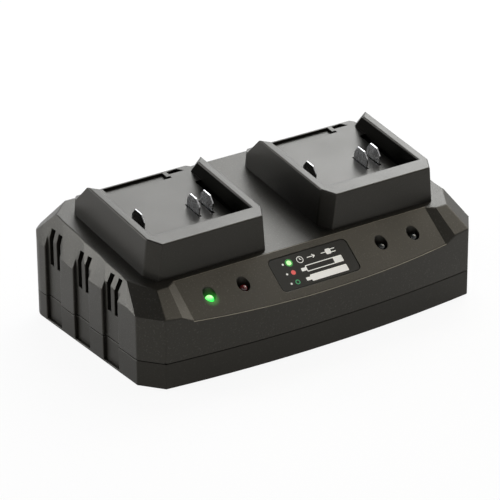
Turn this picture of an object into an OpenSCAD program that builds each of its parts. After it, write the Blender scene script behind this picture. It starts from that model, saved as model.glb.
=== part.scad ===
// Twin-dock battery charger for cordless tools.
// X runs along the front, +Y points to the back wall, +Z up; the table is z = 0.
// The origin lies under the middle of the case.

/* [Case] */
// Width across the side pilasters
case_w = 220; // [212:1:250]
// Depth from the middle of the bowed front to the back wall
case_d = 129.4; // [126:0.2:140]
// How far the front wall bows out at its middle
front_bow = 6.1; // [3:0.1:9]
// Thickness of the moulded walls
wall = 2.5; // [2:0.1:3]
// Height of the case floor's underside above the table
foot_lift = 1.2; // [0.8:0.1:2]
// Height of the parting line above the table
seam_z = 16; // [15:0.5:18]
// Shadow gap between the two case halves
seam_gap = 0.4; // [0.2:0.1:0.6]
// Cut of the front corners, measured along the front
corner_x = 10.1; // [8:0.1:13]
// Cut of the front corners, measured along the side
corner_y = 12.9; // [10:0.1:15]
// Radius of the back corners
back_r = 11.5; // [8:0.5:14]

/* [Deck] */
// Height of the deck above the table at the middle of the case
deck_h = 58.3; // [56:0.1:64]
// Rise of the deck towards the back, in degrees
deck_tilt = 8.1; // [6:0.1:9]
// Width of the chamfer between the deck and each side wall
chamfer_w = 6.4; // [6:0.1:9]
// Height of the side wall at the middle of the case
side_h = 43.5; // [41:0.1:46]
// Rise of the side wall's top towards the back, in degrees
side_rise = 1.8; // [0:0.1:4]
// Depth of the chamfer between the deck and the back wall
back_run = 9.6; // [7:0.1:12]
// Height of the back wall below its chamfer
back_h = 51; // [46:0.5:53]

/* [Front slope] */
// Depth of the sloped panel, measured along the table
panel_run = 24.6; // [22:0.1:27]
// Slope of the panel, in degrees
panel_angle = 36.7; // [33:0.1:40]
// Half width of the sloped panel
panel_half = 82.8; // [80:0.1:86]
// Width gained by the panel's side ramp for each millimetre of depth
ramp_ratio = 3.1; // [2:0.1:3.5]
// Depth of the two shoulders beside the panel, measured along the table
shoulder_run = 14.9; // [13:0.1:17]
// Slope of the shoulders, in degrees
shoulder_angle = 35.3; // [33:0.1:38]
// Slope of the two corner facets, in degrees
corner_angle = 40; // [37:0.5:44]

/* [Side vents] */
// Depth of the recesses between the side pilasters
recess_t = 2; // [1:0.1:3]
// Length of each recess along the side
recess_l = 15.6; // [14.5:0.1:18]
// Spacing of the recesses
recess_pitch = 29.6; // [28:0.1:31]
// Place of the middle recess along the side
recess_y = 10; // [7:0.5:12]
// Height of the plain lip that runs below the recesses
base_lip = 1.2; // [0.8:0.1:2]
// Width of a vent slot
vent_w = 3.7; // [2.5:0.1:4.2]
// Spacing of the two slots in a recess
vent_pitch = 7.5; // [6.8:0.1:8.4]
// Height of a slot's lower end at the middle of the case
vent_low = 33.4; // [31:0.1:36]
// Height of a slot's upper end at the middle of the case
vent_top = 54.4; // [50:0.1:55]
// Rise of the row of slots towards the back, in degrees
vent_rise = 3.2; // [1:0.1:4]

/* [Docks] */
// Distance of each dock's side from the case's side
dock_inset = 15.4; // [14.4:0.1:16.8]
// Half width of a dock where it meets the deck
dock_half = 38.6; // [37.6:0.1:39.6]
// Height of the dock rim above the deck
dock_h = 21.2; // [19.5:0.1:24]
// Height of the dock floor above the deck
dock_floor = 8.8; // [8:0.1:10]
// Front of the dock where it meets the deck
dock_front = -37.5; // [-38.5:0.1:-36.5]
// Back of the dock's floor
dock_back = 45.9; // [45:0.1:48]
// How far the dock walls lean in over their height
dock_draft = 2.2; // [1:0.1:2.6]
// Half width between the dock's overhanging lips
lip_half = 31.5; // [30:0.1:32]
// Thickness of the overhanging lips
lip_t = 1.4; // [1.2:0.1:3.2]
// Half width of the rail grooves below the lips
groove_half = 34.6; // [33.6:0.1:34.8]
// Front end of the space that takes the battery
bay_front = -25; // [-27:0.5:-22]
// Place where the dock walls' outer top edges begin to slope down at the back
rim_back = 32.4; // [31:0.1:34]
// Place where the sloping wall ends reach the level of the dock floor there
rim_foot = 40.1; // [39:0.1:42]
// Turn of the sloping wall ends, seen from above, in degrees
rim_skew = 43; // [30:1:50]
// Half width of the raised floor between the two rail channels
rail_near = 30.7; // [29.8:0.1:31.2]
// Depth of the rail channels below the dock floor
rail_depth = 1.6; // [1:0.1:1.7]
// Back end of the rail channels
rail_back = 28; // [26:0.1:30]
// Height of the skirt that drops through the deck
skirt_h = 5; // [4:0.1:6]

/* [Contacts] */
// Place of the first contact blade across the dock
blade_a = -22; // [-24:0.5:-19]
// Place of the second contact blade across the dock
blade_b = 13.2; // [11:0.1:14]
// Place of the third contact blade across the dock
blade_c = 21.8; // [20:0.1:24]
// Length of a blade along the dock
blade_l = 12.4; // [10:0.1:14]
// Thickness of a blade
blade_t = 0.8; // [0.6:0.1:1]
// Height of a blade above the dock floor
blade_h = 8.8; // [7:0.1:9.5]
// Place of the blades' middle along the dock
blade_y = 2.9; // [1:0.1:5]
// Lead-in at the blade's back corner
lead_in = 2.6; // [1.5:0.1:3.2]

/* [Lights and label] */
// Distance of the inner lights from the middle
led_inner = 45.4; // [42:0.1:48]
// Distance of the outer lights from the middle
led_outer = 67; // [62:0.1:70]
// Distance of the lights behind the panel's front edge
led_back = 14.2; // [13:0.1:15]
// Diameter of a light
led_d = 5; // [4:0.1:5.4]
// Diameter of the hole round a light
led_hole = 7.2; // [6.6:0.1:8]
// Width of the status label
label_w = 51.4; // [44:0.2:60]
// Height of the status label, up the slope
label_l = 20.6; // [18:0.2:22]
// Thickness of the status label
label_t = 0.4; // [0.3:0.1:0.6]

/* [Fan] */
// Size of the square fan frame
fan_size = 40; // [38:0.5:41]
// Depth of the fan frame
fan_t = 10; // [9:0.5:11]
// Height of the fan's axis above the table
fan_z = 34; // [33:0.5:34.5]
// Number of fan blades
fan_blades = 7; // [5:1:9]
// Radius of the fan's shaft
shaft_r = 1; // [0.8:0.1:1.2]

/* [Mains inlet] */
// Place of the inlet along the back wall
inlet_x = -60; // [-70:1:-50]
// Height of the inlet's middle
inlet_z = 29; // [27:0.5:31]
// Spacing of the two inlet pins
inlet_pitch = 8.6; // [8:0.1:9]

/* [Inside] */
// Thickness of the circuit boards
board_t = 1.6; // [1.2:0.1:2]
// Height of the posts under the main board
post_h = 6; // [5:0.5:7]
// Half width of the main board
board_half = 84; // [80:0.5:86]
// Front edge of the main board
board_front = -42; // [-44:0.5:-40]
// Back edge of the main board
board_back = 46; // [44:0.5:48]

/* [Fasteners and feet] */
// Diameter of the case screws
screw_d = 3; // [2.5:0.1:3.5]
// Diameter of a rubber foot
foot_d = 16; // [12:0.5:18]
// Depth of the seats that hold the rubber feet
foot_seat = 1; // [0.5:0.1:1.4]
// General clearance between fitted parts
clear = 0.2; // [0.15:0.01:0.3]

/* [Hidden] */

$fn = 64;
arc_fn = 720;
eps = 0.01;
far = 300;

half_w = case_w / 2;
back_y = case_d / 2;
front_y = -case_d / 2;
corner_front = front_y + front_bow;
front_half = half_w - corner_x;
front_r = (front_half * front_half + front_bow * front_bow) / (2 * front_bow);
inner_half = half_w - recess_t - wall;
floor_z = foot_lift + wall;

function deck_z(y) = deck_h + y * tan(deck_tilt);
function side_z(y) = side_h + y * tan(side_rise);

deck_edge = half_w - chamfer_w;
panel_top = front_y + panel_run;
panel_top_z = deck_z(panel_top);
function panel_z(y) = panel_top_z - (panel_top - y) * tan(panel_angle);
shoulder_top = corner_front + shoulder_run;
corner_z = deck_z(shoulder_top) - shoulder_run * tan(shoulder_angle);
corner_turn = atan2(corner_y, corner_x);

chamfer_steps = 12;
chamfer_reach = 0.6;
wedge_lean = 30;
corner_over = 0.4;
back_facet = 45;
tongue_t = 1;
tongue_h = 2.4;

// Distance of each dock's middle from the middle of the case
dock_x = half_w - dock_inset - dock_half;

// Dock values in the deck's own tilted frame
dock_corner_x = 4.7;
dock_corner_y = 8.4;
dock_back_r = 7;
dock_plate = 2.4;
dock_shell = 2.4;
skirt_half = groove_half - 0.4;
skirt_t = 2;
skirt_front = dock_front + 3.7;
skirt_back = dock_back - 4;
hook_t = 1;
hook_h = 1.6;
hook_l = 10;
pocket_half = 19.2;
pocket_front = 37.6;
pocket_back = 43.9;
pocket_depth = 1.6;
pocket_foot_w = 2.3;
pocket_foot_l = 1.6;
notch_near = 22;
notch_far = 31.6;
notch_taper = 3;
notch_front = 41.2;
notch_back = 44.3;
notch_depth = 4;
end_reach = 30;
slot_margin = 0.9;
slot_gap = 0.4;
well_half = lip_half - 4;

block_half = 27;
block_y0 = blade_y - blade_l / 2 - 3;
block_y1 = blade_y + blade_l / 2 + 3;
block_low = -4;
block_seat = dock_floor - dock_plate;
blade_foot = -1;
blade_nose = 3.5;
blade_fit = 0.05;
lead_r = 1.3;
lead_fit = 0.15;
ferrule_r = 2.2;
ferrule_h = 4;
lead_y = blade_y;
tap_places = [-11.4, 4.6];
tap_boss_r = 3.4;
tap_boss_h = 3;

// Lights, their board and the label
led_y = front_y + led_back;
led_top = panel_z(led_y) - 0.8;
led_base = led_top - 8.6;
led_flange = 1;
led_board_z = led_base - board_t;
led_board_half = led_outer + 7;
led_board_w = 13;
led_fit = 0.08;
led_bore = led_d + 2 * led_fit;
led_step = led_top - 3.2;
sleeve_r = led_hole / 2 + 1.6;
sleeve_low = led_base + led_flange + clear;
led_post_x = 20;
label_sink = 0.6;
label_r = 3;
label_y = -(panel_run / cos(panel_angle)) / 2 + 0.8;

// Fan stands against the right wall on a pedestal of the lower case
fan_y = recess_y;
fan_x1 = inner_half - 4;
fan_x0 = fan_x1 - fan_t;
fan_bore = fan_size / 2 - 1.5;
fan_tip = fan_bore - 0.7;
fan_hub = 8;
fan_plate = 2;
shaft_gap = 0.04;
fan_foot_z = fan_z - fan_size / 2;

// Board posts, case posts and feet
board_z = floor_z + post_h;
board_top = board_z + board_t;
post_x = board_half - 6;
post_front = board_front + 6;
post_back = board_back - 6;
case_post_in = 18;
case_post_x = half_w - case_post_in;
case_post_front = corner_front + 12.6;
case_post_back = back_y - 14.6;
foot_in = 2 * foot_d;
foot_x = half_w - foot_in;
foot_front = case_post_front + 2;
foot_back = case_post_back - 2;
bite_l = 4;
post_r = 4.2;
thread_r = screw_d / 2 - 0.25;
tap_thread_r = screw_d / 2 - 0.5;
head_r = screw_d;
head_t = 2.2;
head_sink = 6;

// Mains inlet
inlet_cup_r = 4.6;
inlet_depth = 12;
inlet_body_w = inlet_pitch + 2 * inlet_cup_r + 4;
inlet_body_h = 2 * inlet_cup_r + 4;
inlet_body_l = 17;
inlet_flange = 3;
pin_r = 1.2;

// ---- frames of reference ------------------------------------------------

// Puts children on the deck plane, x from the middle of the case
module on_deck(x = 0) {
    translate([x, 0, deck_h]) rotate([deck_tilt, 0, 0]) children();
}

// Puts children on the sloped panel, its origin on the panel's upper edge and +Y uphill
module on_panel() {
    translate([0, panel_top, panel_top_z]) rotate([panel_angle, 0, 0]) children();
}

module both_sides() {
    children();
    mirror([1, 0, 0]) children();
}

// ---- case ---------------------------------------------------------------

// Upright block with the case's plan, set in by dx at the sides and dn elsewhere
module plan_block(dx, dn, z0, z1) {
    hw = half_w - dx;
    by = back_y - dn;
    cf = corner_front + dn;
    r = max(back_r - dn, 1);
    cx = max(corner_x - dn * 0.4, 1);
    cy = max(corner_y - dn * 0.4, 1);
    // The corner cuts run on past the bow, so that the two meet in one clean edge
    tx = hw - cx * (1 + corner_over);
    ty = cf - cy * corner_over;
    translate([0, 0, z0]) intersection() {
        union() {
            linear_extrude(height = z1 - z0)
                polygon([[-hw, cf + cy], [-tx, ty], [-tx, front_y - 1], [tx, front_y - 1],
                    [tx, ty], [hw, cf + cy], [hw, by - r], [hw - r, by - r],
                    [hw - r, by], [r - hw, by], [r - hw, by - r], [-hw, by - r]]);
            both_sides() translate([hw - r, by - r, 0]) cylinder(r = r, h = z1 - z0);
        }
        translate([0, front_y + front_r, 0])
            cylinder(r = front_r - dn, h = z1 - z0, $fn = arc_fn);
    }
}

// Wedge above the side chamfer: a ruled face between the wall's top and the deck edge
module side_wedge(shift) {
    y0 = -case_d;
    dy = 2 * case_d / chamfer_steps;
    // Ring of three points at y: wall side, deck side and the outer upper corner
    function ring(y) = let (xa = half_w - shift, za = side_z(y), xb = deck_edge - shift, zb = deck_z(y),
        kx = (xa - xb) * chamfer_reach, kz = (za - zb) * chamfer_reach)
        [[xa + kx, y, za + kz], [xb - kx, y, zb - kz], [xa + kx, y, zb - kz]];
    pts = [for (i = [0:chamfer_steps]) each ring(y0 + i * dy)];
    n = chamfer_steps;
    faces = concat([[0, 1, 2]], [[3 * n + 2, 3 * n + 1, 3 * n]],
        [for (i = [0:n - 1], k = [0:2]) let (a = 3 * i + k, b = 3 * i + (k + 1) % 3) each
            [[a, b + 3, b], [a, a + 3, b + 3]]]);
    polyhedron(points = pts, faces = faces);
}

// The closed outer form of the case, set in evenly for its hollow
module case_form(dx, dn, z0) {
    difference() {
        plan_block(dx, dn, z0, deck_z(back_y) + eps);
        on_deck() translate([-far, -far, -dn]) cube([2 * far, 2 * far, far]);
        both_sides() side_wedge(dn / cos(wedge_lean));
        // Back chamfer and the two facets that turn it into the sides
        translate([0, back_y, back_h])
            rotate([-atan2(deck_z(back_y - back_run) - back_h, back_run), 0, 0])
                translate([-far, -far, -dn]) cube([2 * far, 2 * far, far]);
        both_sides() translate([half_w - back_r, back_y - back_r, back_h])
            rotate([0, 0, -45]) translate([0, back_r, 0]) rotate([-back_facet, 0, 0])
                translate([-far / 2, -far / 4, -dn]) cube([far, far / 2, far / 2]);
        // Shoulder slope and the two corner facets
        translate([0, shoulder_top, deck_z(shoulder_top)]) rotate([shoulder_angle, 0, 0])
            translate([-far, -far, -dn]) cube([2 * far, 2 * far, far]);
        both_sides() translate([-half_w, corner_front + corner_y, corner_z])
            rotate([0, 0, -corner_turn]) rotate([corner_angle, 0, 0])
                translate([-far / 4, -far / 4, -dn]) cube([far / 2, far / 2, far / 2]);
        // The sloped panel, sunk between its two side ramps
        on_panel() translate([0, far / 2, -dn]) rotate([90, 0, 0]) linear_extrude(height = far)
            polygon([[-panel_half, 0], [panel_half, 0], [panel_half + ramp_ratio * 12, 12],
                [-panel_half - ramp_ratio * 12, 12]]);
    }
}

module side_recesses(z0) {
    both_sides() for (i = [-1:1])
        translate([half_w - recess_t, recess_y + i * recess_pitch - recess_l / 2, z0])
            cube([recess_t + 1, recess_l, far]);
}

module vents() {
    both_sides() for (i = [-1:1], k = [-0.5, 0.5]) {
        y = recess_y + i * recess_pitch + k * vent_pitch;
        low = vent_low + y * tan(vent_rise);
        translate([inner_half - 12, y - vent_w / 2, low])
            cube([recess_t + wall + 13, vent_w, vent_top - vent_low]);
    }
}

module case_posts(r, z0, z1) {
    both_sides() for (y = [case_post_front, case_post_back])
        translate([case_post_x, y, z0]) cylinder(r = r, h = z1 - z0);
}

module foot_places(r, z0, h) {
    both_sides() for (y = [foot_front, foot_back]) translate([foot_x, y, z0]) cylinder(r = r, h = h);
}

module board_places(r, z0, h) {
    both_sides() for (y = [post_front, post_back]) translate([post_x, y, z0]) cylinder(r = r, h = h);
}

module lower_case() {
    tongue_in = wall + clear;
    color("#34332e") difference() {
        union() {
            difference() {
                plan_block(0, 0, foot_lift, seam_z);
                side_recesses(foot_lift + base_lip);
                plan_block(recess_t + wall, wall, floor_z, seam_z + 1);
            }
            // Tongue that stands inside the upper case
            difference() {
                plan_block(recess_t + tongue_in, tongue_in, seam_z - 3, seam_z + tongue_h);
                plan_block(recess_t + tongue_in + tongue_t, tongue_in + tongue_t, floor_z, far);
                on_inlet() translate([-inlet_body_w, -far / 2, -inlet_body_h])
                    cube([2 * inlet_body_w, far, 2 * inlet_body_h]);
            }
            // Web that joins the tongue to the wall
            difference() {
                plan_block(recess_t + wall / 2, wall / 2, seam_z - 4, seam_z - 1);
                plan_block(recess_t + tongue_in + tongue_t, tongue_in + tongue_t, floor_z, far);
            }
            case_posts(post_r, foot_lift + eps, seam_z);
            board_places(3.6, foot_lift + eps, board_z - foot_lift - eps);
            fan_pedestal();
        }
        foot_places(foot_d / 2, 0, foot_lift + foot_seat);
        case_posts(screw_d / 2 + clear, 0, seam_z + 1);
        case_posts(head_r + clear, 0, foot_lift + head_sink);
        board_places(thread_r, floor_z, far);
    }
}

// Cradle under the fan, with a low fence on either side of its frame
module fan_pedestal() {
    fence = 1.6;
    rise = 4;
    l = fan_size - 6;
    translate([fan_x0 - fence - clear, fan_y - l / 2, foot_lift + eps]) difference() {
        cube([fan_t + 2 * (fence + clear), l, fan_foot_z - foot_lift + rise]);
        translate([fence, -1, fan_foot_z - foot_lift - eps]) cube([fan_t + 2 * clear, l + 2, rise + 1]);
        translate([fence, wall, wall])
            cube([fan_t + 2 * clear, l - 2 * wall, fan_foot_z - foot_lift - 2 * wall]);
    }
}

module upper_case() {
    color("#3f3e39") difference() {
        union() {
            difference() {
                case_form(0, 0, seam_z + seam_gap);
                side_recesses(0);
                case_form(recess_t + wall, wall, seam_z - 1);
            }
            // Posts for the case screws, light sleeves and light-board posts, trimmed to the form
            intersection() {
                union() {
                    case_posts(post_r, seam_z, far);
                    for (x = [-led_outer, -led_inner, led_inner, led_outer])
                        translate([x, led_y, sleeve_low]) cylinder(r = sleeve_r, h = far);
                    both_sides() translate([led_post_x, led_y, led_base]) cylinder(r = 3.2, h = far);
                }
                case_form(1, wall / 2, seam_z - 1);
            }
        }
        vents();
        case_posts(thread_r, seam_z - 1, seam_z + 14);
        for (x = [-led_outer, -led_inner, led_inner, led_outer]) {
            translate([x, led_y, seam_z]) cylinder(r = led_bore / 2, h = far);
            translate([x, led_y, led_step]) cylinder(r = led_hole / 2, h = far);
        }
        both_sides() translate([led_post_x, led_y, led_base - 1]) cylinder(r = 1, h = 6);
        on_panel() translate([0, label_y, -label_sink]) label_block(label_w, label_l, 2);
        for (x = [-dock_x, dock_x]) on_deck(x)
            translate([-skirt_half - clear, skirt_front - clear, -far / 2])
                cube([2 * (skirt_half + clear), skirt_back - skirt_front + 2 * clear, far]);
        on_inlet() inlet_shell(clear, far / 4, far / 4);
    }
}

// ---- docks, in the deck's tilted frame ----------------------------------

// Block whose outline shrinks from one polygon to another of the same count
module drafted(low, high, h) {
    n = len(low);
    pts = concat([for (p = low) [p[0], p[1], 0]], [for (p = high) [p[0], p[1], h]]);
    faces = concat([[for (i = [0:n - 1]) i]], [[for (i = [0:n - 1]) 2 * n - 1 - i]],
        [for (i = [0:n - 1]) [i, i + n, (i + 1) % n + n, (i + 1) % n]]);
    polyhedron(points = pts, faces = faces);
}

function dock_outline(s) = let (w = dock_half - s, f = dock_front + s, b = dock_back - s)
    [[-w, f + dock_corner_y], [dock_corner_x - w, f], [w - dock_corner_x, f],
        [w, f + dock_corner_y], [w, b], [-w, b]];

// What is cut from a dock wall's back end: the space behind and above a sloping, turned plane
module wall_end() {
    drop = dock_h - dock_floor;
    run = (rim_foot - rim_back) * cos(rim_skew);
    translate([dock_half - dock_draft, rim_back, dock_h]) rotate([0, 0, rim_skew])
        rotate([90, 0, 90]) translate([0, 0, -end_reach]) linear_extrude(height = 3 * end_reach)
            polygon([[0, 0], [run, -drop], [far, -drop], [far, far], [-1, far], [-1, 1]]);
}

module dock() {
    difference() {
        union() {
            intersection() {
                drafted(dock_outline(0), dock_outline(dock_draft), dock_h);
                rounded_back(dock_half, dock_front, dock_back, dock_back_r, dock_h);
            }
            // Skirt and the hooks that catch under the deck
            translate([-skirt_half, skirt_front, -skirt_h])
                cube([2 * skirt_half, skirt_back - skirt_front, skirt_h + 1]);
            both_sides() for (y = [skirt_front + 14, skirt_back - 14 - hook_l])
                translate([skirt_half - eps, y, -wall - 0.3 - hook_h]) cube([hook_t, hook_l, hook_h]);
        }
        // Space for the battery's foot and the rail grooves below the lips
        translate([-lip_half, bay_front, dock_floor]) cube([2 * lip_half, far, far]);
        translate([-groove_half, bay_front, dock_floor])
            cube([2 * groove_half, far, dock_h - lip_t - dock_floor]);
        // Rail channels beside the floor
        both_sides() translate([rail_near, bay_front, dock_floor - rail_depth])
            cube([groove_half - rail_near, rail_back - bay_front, rail_depth + 1]);
        // Wall ends slope down to the floor at the back, turned inwards
        both_sides() wall_end();
        // Hollow below the floor and inside the front wall
        translate([skirt_t - skirt_half, skirt_front + skirt_t, -far / 2])
            cube([2 * (skirt_half - skirt_t), skirt_back - skirt_front - 2 * skirt_t, far / 2 + block_seat]);
        translate([-well_half, skirt_front + skirt_t, 0])
            cube([2 * well_half, bay_front - skirt_front - 2 * skirt_t - 0.5, dock_h - dock_shell]);
        // Pockets behind the contacts: a long one with a foot, and a deep one for the latch
        translate([-pocket_half, pocket_front, dock_floor - pocket_depth])
            cube([2 * pocket_half, pocket_back - pocket_front, far]);
        translate([pocket_half - eps, pocket_front, dock_floor - pocket_depth])
            cube([pocket_foot_w, pocket_foot_l, far]);
        translate([0, 0, dock_floor - notch_depth]) linear_extrude(height = far)
            polygon([[notch_near, notch_front], [notch_far, notch_front],
                [notch_far - notch_taper, notch_back], [notch_near, notch_back - notch_taper / 6]]);
        for (x = [blade_a, blade_b, blade_c])
            translate([x - blade_t / 2 - slot_gap, blade_y - blade_l / 2 - slot_margin, 0])
                cube([blade_t + 2 * slot_gap, blade_l + 2 * slot_margin, far]);
    }
    // Bosses for the terminal block's screws
    for (x = tap_places) translate([x, lead_y, block_seat - tap_boss_h]) difference() {
        cylinder(r = tap_boss_r, h = tap_boss_h + 0.5);
        translate([0, 0, -1]) cylinder(r = tap_thread_r, h = tap_boss_h + 1);
    }
}

// Upright block with square front corners and round back corners
module rounded_back(hw, y0, y1, r, h) {
    translate([0, 0, -eps]) {
        linear_extrude(height = h + 2 * eps)
            polygon([[-hw, y0], [hw, y0], [hw, y1 - r], [hw - r, y1 - r], [hw - r, y1],
                [r - hw, y1], [r - hw, y1 - r], [-hw, y1 - r]]);
        both_sides() translate([hw - r, y1 - r, 0]) cylinder(r = r, h = h + 2 * eps);
    }
}

module left_dock() { color("#8f8f92") on_deck(-dock_x) dock(); }
module right_dock() { color("#8f8f92") on_deck(dock_x) dock(); }

module blade(x) {
    y0 = blade_y - blade_l / 2;
    y1 = blade_y + blade_l / 2;
    top = dock_floor + blade_h;
    translate([x + blade_t / 2, 0, 0]) rotate([90, 0, -90]) mirror([1, 0, 0])
        linear_extrude(height = blade_t)
            polygon([[y0, blade_foot], [y1, blade_foot], [y1, top - 1.6 * lead_in], [y1 - lead_in, top],
                [y0 + blade_nose, top], [y0, top - blade_nose]]);
}

module left_blade_a() { color("#c9cacb") on_deck(-dock_x) blade(blade_a); }
module left_blade_b() { color("#c9cacb") on_deck(-dock_x) blade(blade_b); }
module left_blade_c() { color("#c9cacb") on_deck(-dock_x) blade(blade_c); }
module right_blade_a() { color("#c9cacb") on_deck(dock_x) blade(blade_a); }
module right_blade_b() { color("#c9cacb") on_deck(dock_x) blade(blade_b); }
module right_blade_c() { color("#c9cacb") on_deck(dock_x) blade(blade_c); }

// Block under the dock floor that grips the blades
module terminal_block() {
    difference() {
        translate([-block_half, block_y0, block_low])
            cube([2 * block_half, block_y1 - block_y0, block_seat - block_low]);
        for (x = [blade_a, blade_b, blade_c]) {
            translate([x - blade_t / 2 - blade_fit, blade_y - blade_l / 2 - blade_fit, blade_foot])
                cube([blade_t + 2 * blade_fit, blade_l + 2 * blade_fit, far]);
            translate([x, lead_y, block_low - 1]) cylinder(r = lead_r + clear, h = 3);
        }
        for (x = tap_places) {
            translate([x, lead_y, block_low - 1]) cylinder(r = screw_d / 2, h = far);
            translate([x, lead_y, block_seat - tap_boss_h - clear]) cylinder(r = tap_boss_r + clear, h = far);
        }
    }
}

module left_terminal_block() { color("#26313a") on_deck(-dock_x) terminal_block(); }
module right_terminal_block() { color("#26313a") on_deck(dock_x) terminal_block(); }

// Leads from the terminal block straight down to the main board
module leads(xc) {
    for (x = [blade_a, blade_b, blade_c]) {
        top = deck_h + lead_y * sin(deck_tilt) + (block_low + 1.2) * cos(deck_tilt);
        y = lead_y * cos(deck_tilt) - block_low * sin(deck_tilt);
        translate([xc + x, y, board_top]) cylinder(r = ferrule_r, h = ferrule_h);
        translate([xc + x, y, board_top + ferrule_h / 2])
            cylinder(r = lead_r - lead_fit, h = top - board_top - ferrule_h / 2);
    }
}

module left_leads() { color("#a8322a") leads(-dock_x); }
module right_leads() { color("#a8322a") leads(dock_x); }

// ---- lights and label ---------------------------------------------------

module label_block(w, l, h) {
    r = label_r;
    linear_extrude(height = h) union() {
        translate([-w / 2, -l / 2 + r]) square([w, l - 2 * r]);
        translate([-w / 2 + r, -l / 2]) square([w - 2 * r, l]);
        for (x = [-w / 2 + r, w / 2 - r], y = [-l / 2 + r, l / 2 - r]) translate([x, y]) circle(r = r);
    }
}

module status_label() {
    color("#4a4840") on_panel() translate([0, label_y, -label_sink])
        label_block(label_w - 2 * clear, label_l - 2 * clear, label_t);
}

module led(x) {
    r = led_d / 2;
    translate([x, led_y, led_base]) {
        cylinder(r = r + 0.4, h = led_flange);
        cylinder(r = r, h = led_top - led_base - r);
        translate([0, 0, led_top - led_base - r]) intersection() {
            sphere(r = r);
            cylinder(r = r + 1, h = r + 1);
        }
    }
}

module led_1() { color("#4fd08a") led(-led_outer); }
module led_2() { color("#7a2a22") led(-led_inner); }
module led_3() { color("#7a2a22") led(led_inner); }
module led_4() { color("#3d5a47") led(led_outer); }

module led_board() {
    color("#2c6b3f") difference() {
        translate([-led_board_half, led_y - led_board_w / 2 + 1, led_board_z])
            cube([2 * led_board_half, led_board_w, board_t]);
        both_sides() translate([led_post_x, led_y, led_board_z - 1]) cylinder(r = 1.2, h = board_t + 2);
    }
}

module led_board_screws() {
    color("#b9babb") both_sides() translate([led_post_x, led_y, led_board_z - 1.4]) {
        cylinder(r = 2.2, h = 1.4);
        cylinder(r = 1, h = 1.4 + board_t + bite_l);
    }
}

// ---- power parts on the main board --------------------------------------

module main_board() {
    color("#2c6b3f") difference() {
        translate([-board_half, board_front, board_z])
            cube([2 * board_half, board_back - board_front, board_t]);
        board_places(screw_d / 2 + clear, board_z - 1, board_t + 2);
    }
}

module board_screws() {
    color("#b9babb") board_places(screw_d, board_top, head_t);
    color("#b9babb") board_places(thread_r, board_z - bite_l, board_t + bite_l + eps);
}

core_w = 36;
core_d = 12;
core_h = 30;
core_leg = 9;
bobbin_t = 1.2;
core_y = board_back - 2 * core_d;

module transformer_core() {
    color("#5a5a5c") translate([0, core_y, board_top + bobbin_t]) difference() {
        translate([-core_w / 2, -core_d / 2, 0]) cube([core_w, core_d, core_h]);
        for (s = [-1, 1]) translate([s * core_w / 4 - (core_w / 4 - core_leg / 2) / 2, -core_d, core_leg / 2])
            cube([core_w / 4 - core_leg / 2, 2 * core_d, core_h - core_leg]);
    }
}

// Taped winding on its bobbin, round the middle leg
module transformer_winding() {
    window = core_w / 4 - core_leg / 2;
    leg_half = core_w / 4 - window / 2;
    out = leg_half + window - clear;
    color("#d8b23c") translate([0, core_y, board_top + bobbin_t + core_leg / 2 + clear]) difference() {
        translate([-out, -core_d / 2 - window, 0])
            cube([2 * out, core_d + 2 * window, core_h - core_leg - 2 * clear]);
        translate([-leg_half - clear, -core_d / 2 - clear, -1])
            cube([2 * (leg_half + clear), core_d + 2 * clear, far]);
    }
    // Bobbin foot that stands on the board below the core
    color("#2a2a2a") translate([-core_w / 2, core_y - core_d / 2 - window, board_top])
        cube([core_w, core_d + 2 * window, bobbin_t]);
    color("#2a2a2a") for (s = [-1, 1])
        translate([-6, core_y + s * (core_d / 2 + window / 2 + 1) - 1, board_top])
            cube([12, 2, bobbin_t + core_leg / 2 + 1]);
}

cap_r = 9;
cap_h = 30;
cap_in = 38;
cap_x = cap_in - board_half;
cap_edge = 0.5;
cap_groove_z = 2.4;
cap_groove_r = 0.9;

module capacitor(y) {
    translate([cap_x, y, board_top]) {
        cylinder(r = cap_r - cap_edge, h = cap_h);
        difference() {
            cylinder(r = cap_r, h = cap_h - cap_edge);
            translate([0, 0, cap_groove_z]) rotate_extrude() translate([cap_r + cap_groove_r / 3, 0])
                circle(r = cap_groove_r, $fn = 24);
        }
    }
}

module capacitor_1() { color("#1e3a6b") capacitor(board_back - 12); }
module capacitor_2() { color("#1e3a6b") capacitor(board_front + 20); }

sink_l = 44;
sink_t = 2.4;
sink_h = 26;
fin_l = 8;
fin_t = 1.4;
fins = 7;
sink_in = 40;
sink_x = board_half - sink_in;

// Upright plate with fins on one side, standing on the board
module heat_sink(x, y) {
    translate([x, y, board_top]) {
        translate([-sink_l / 2, 0, 0]) cube([sink_l, sink_t, sink_h]);
        for (i = [0:fins - 1]) translate([-sink_l / 2 + i * (sink_l - fin_t) / (fins - 1), 0, 0])
            cube([fin_t, fin_l + sink_t, sink_h]);
    }
}

module heat_sink_1() { color("#a9abad") heat_sink(sink_x, board_front + 6); }
module heat_sink_2() { color("#a9abad") heat_sink(sink_x, board_back - 18); }

choke_in = 16;
choke_x = choke_in - board_half;
choke_y = board_back - 16;
choke_r = 6;
choke_cut = 3.2;
choke_base = 1.4;

module choke() {
    color("#3b5d3a") translate([choke_x, choke_y, board_top + choke_cut + choke_base / 4]) rotate_extrude()
        translate([choke_r, 0]) circle(r = choke_cut, $fn = 32);
    color("#2a2a2a") translate([choke_x, choke_y, board_top]) difference() {
        cylinder(r = choke_r + choke_base, h = choke_base);
        translate([0, 0, -1]) cylinder(r = choke_r - choke_base, h = choke_base + 2);
    }
}

relay_l = 19;
relay_w = 15.4;
relay_h = 15.2;

module relay() {
    color("#2e4f86") translate([-relay_l - 1, board_front + 8, board_top]) cube([relay_l, relay_w, relay_h]);
}

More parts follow.
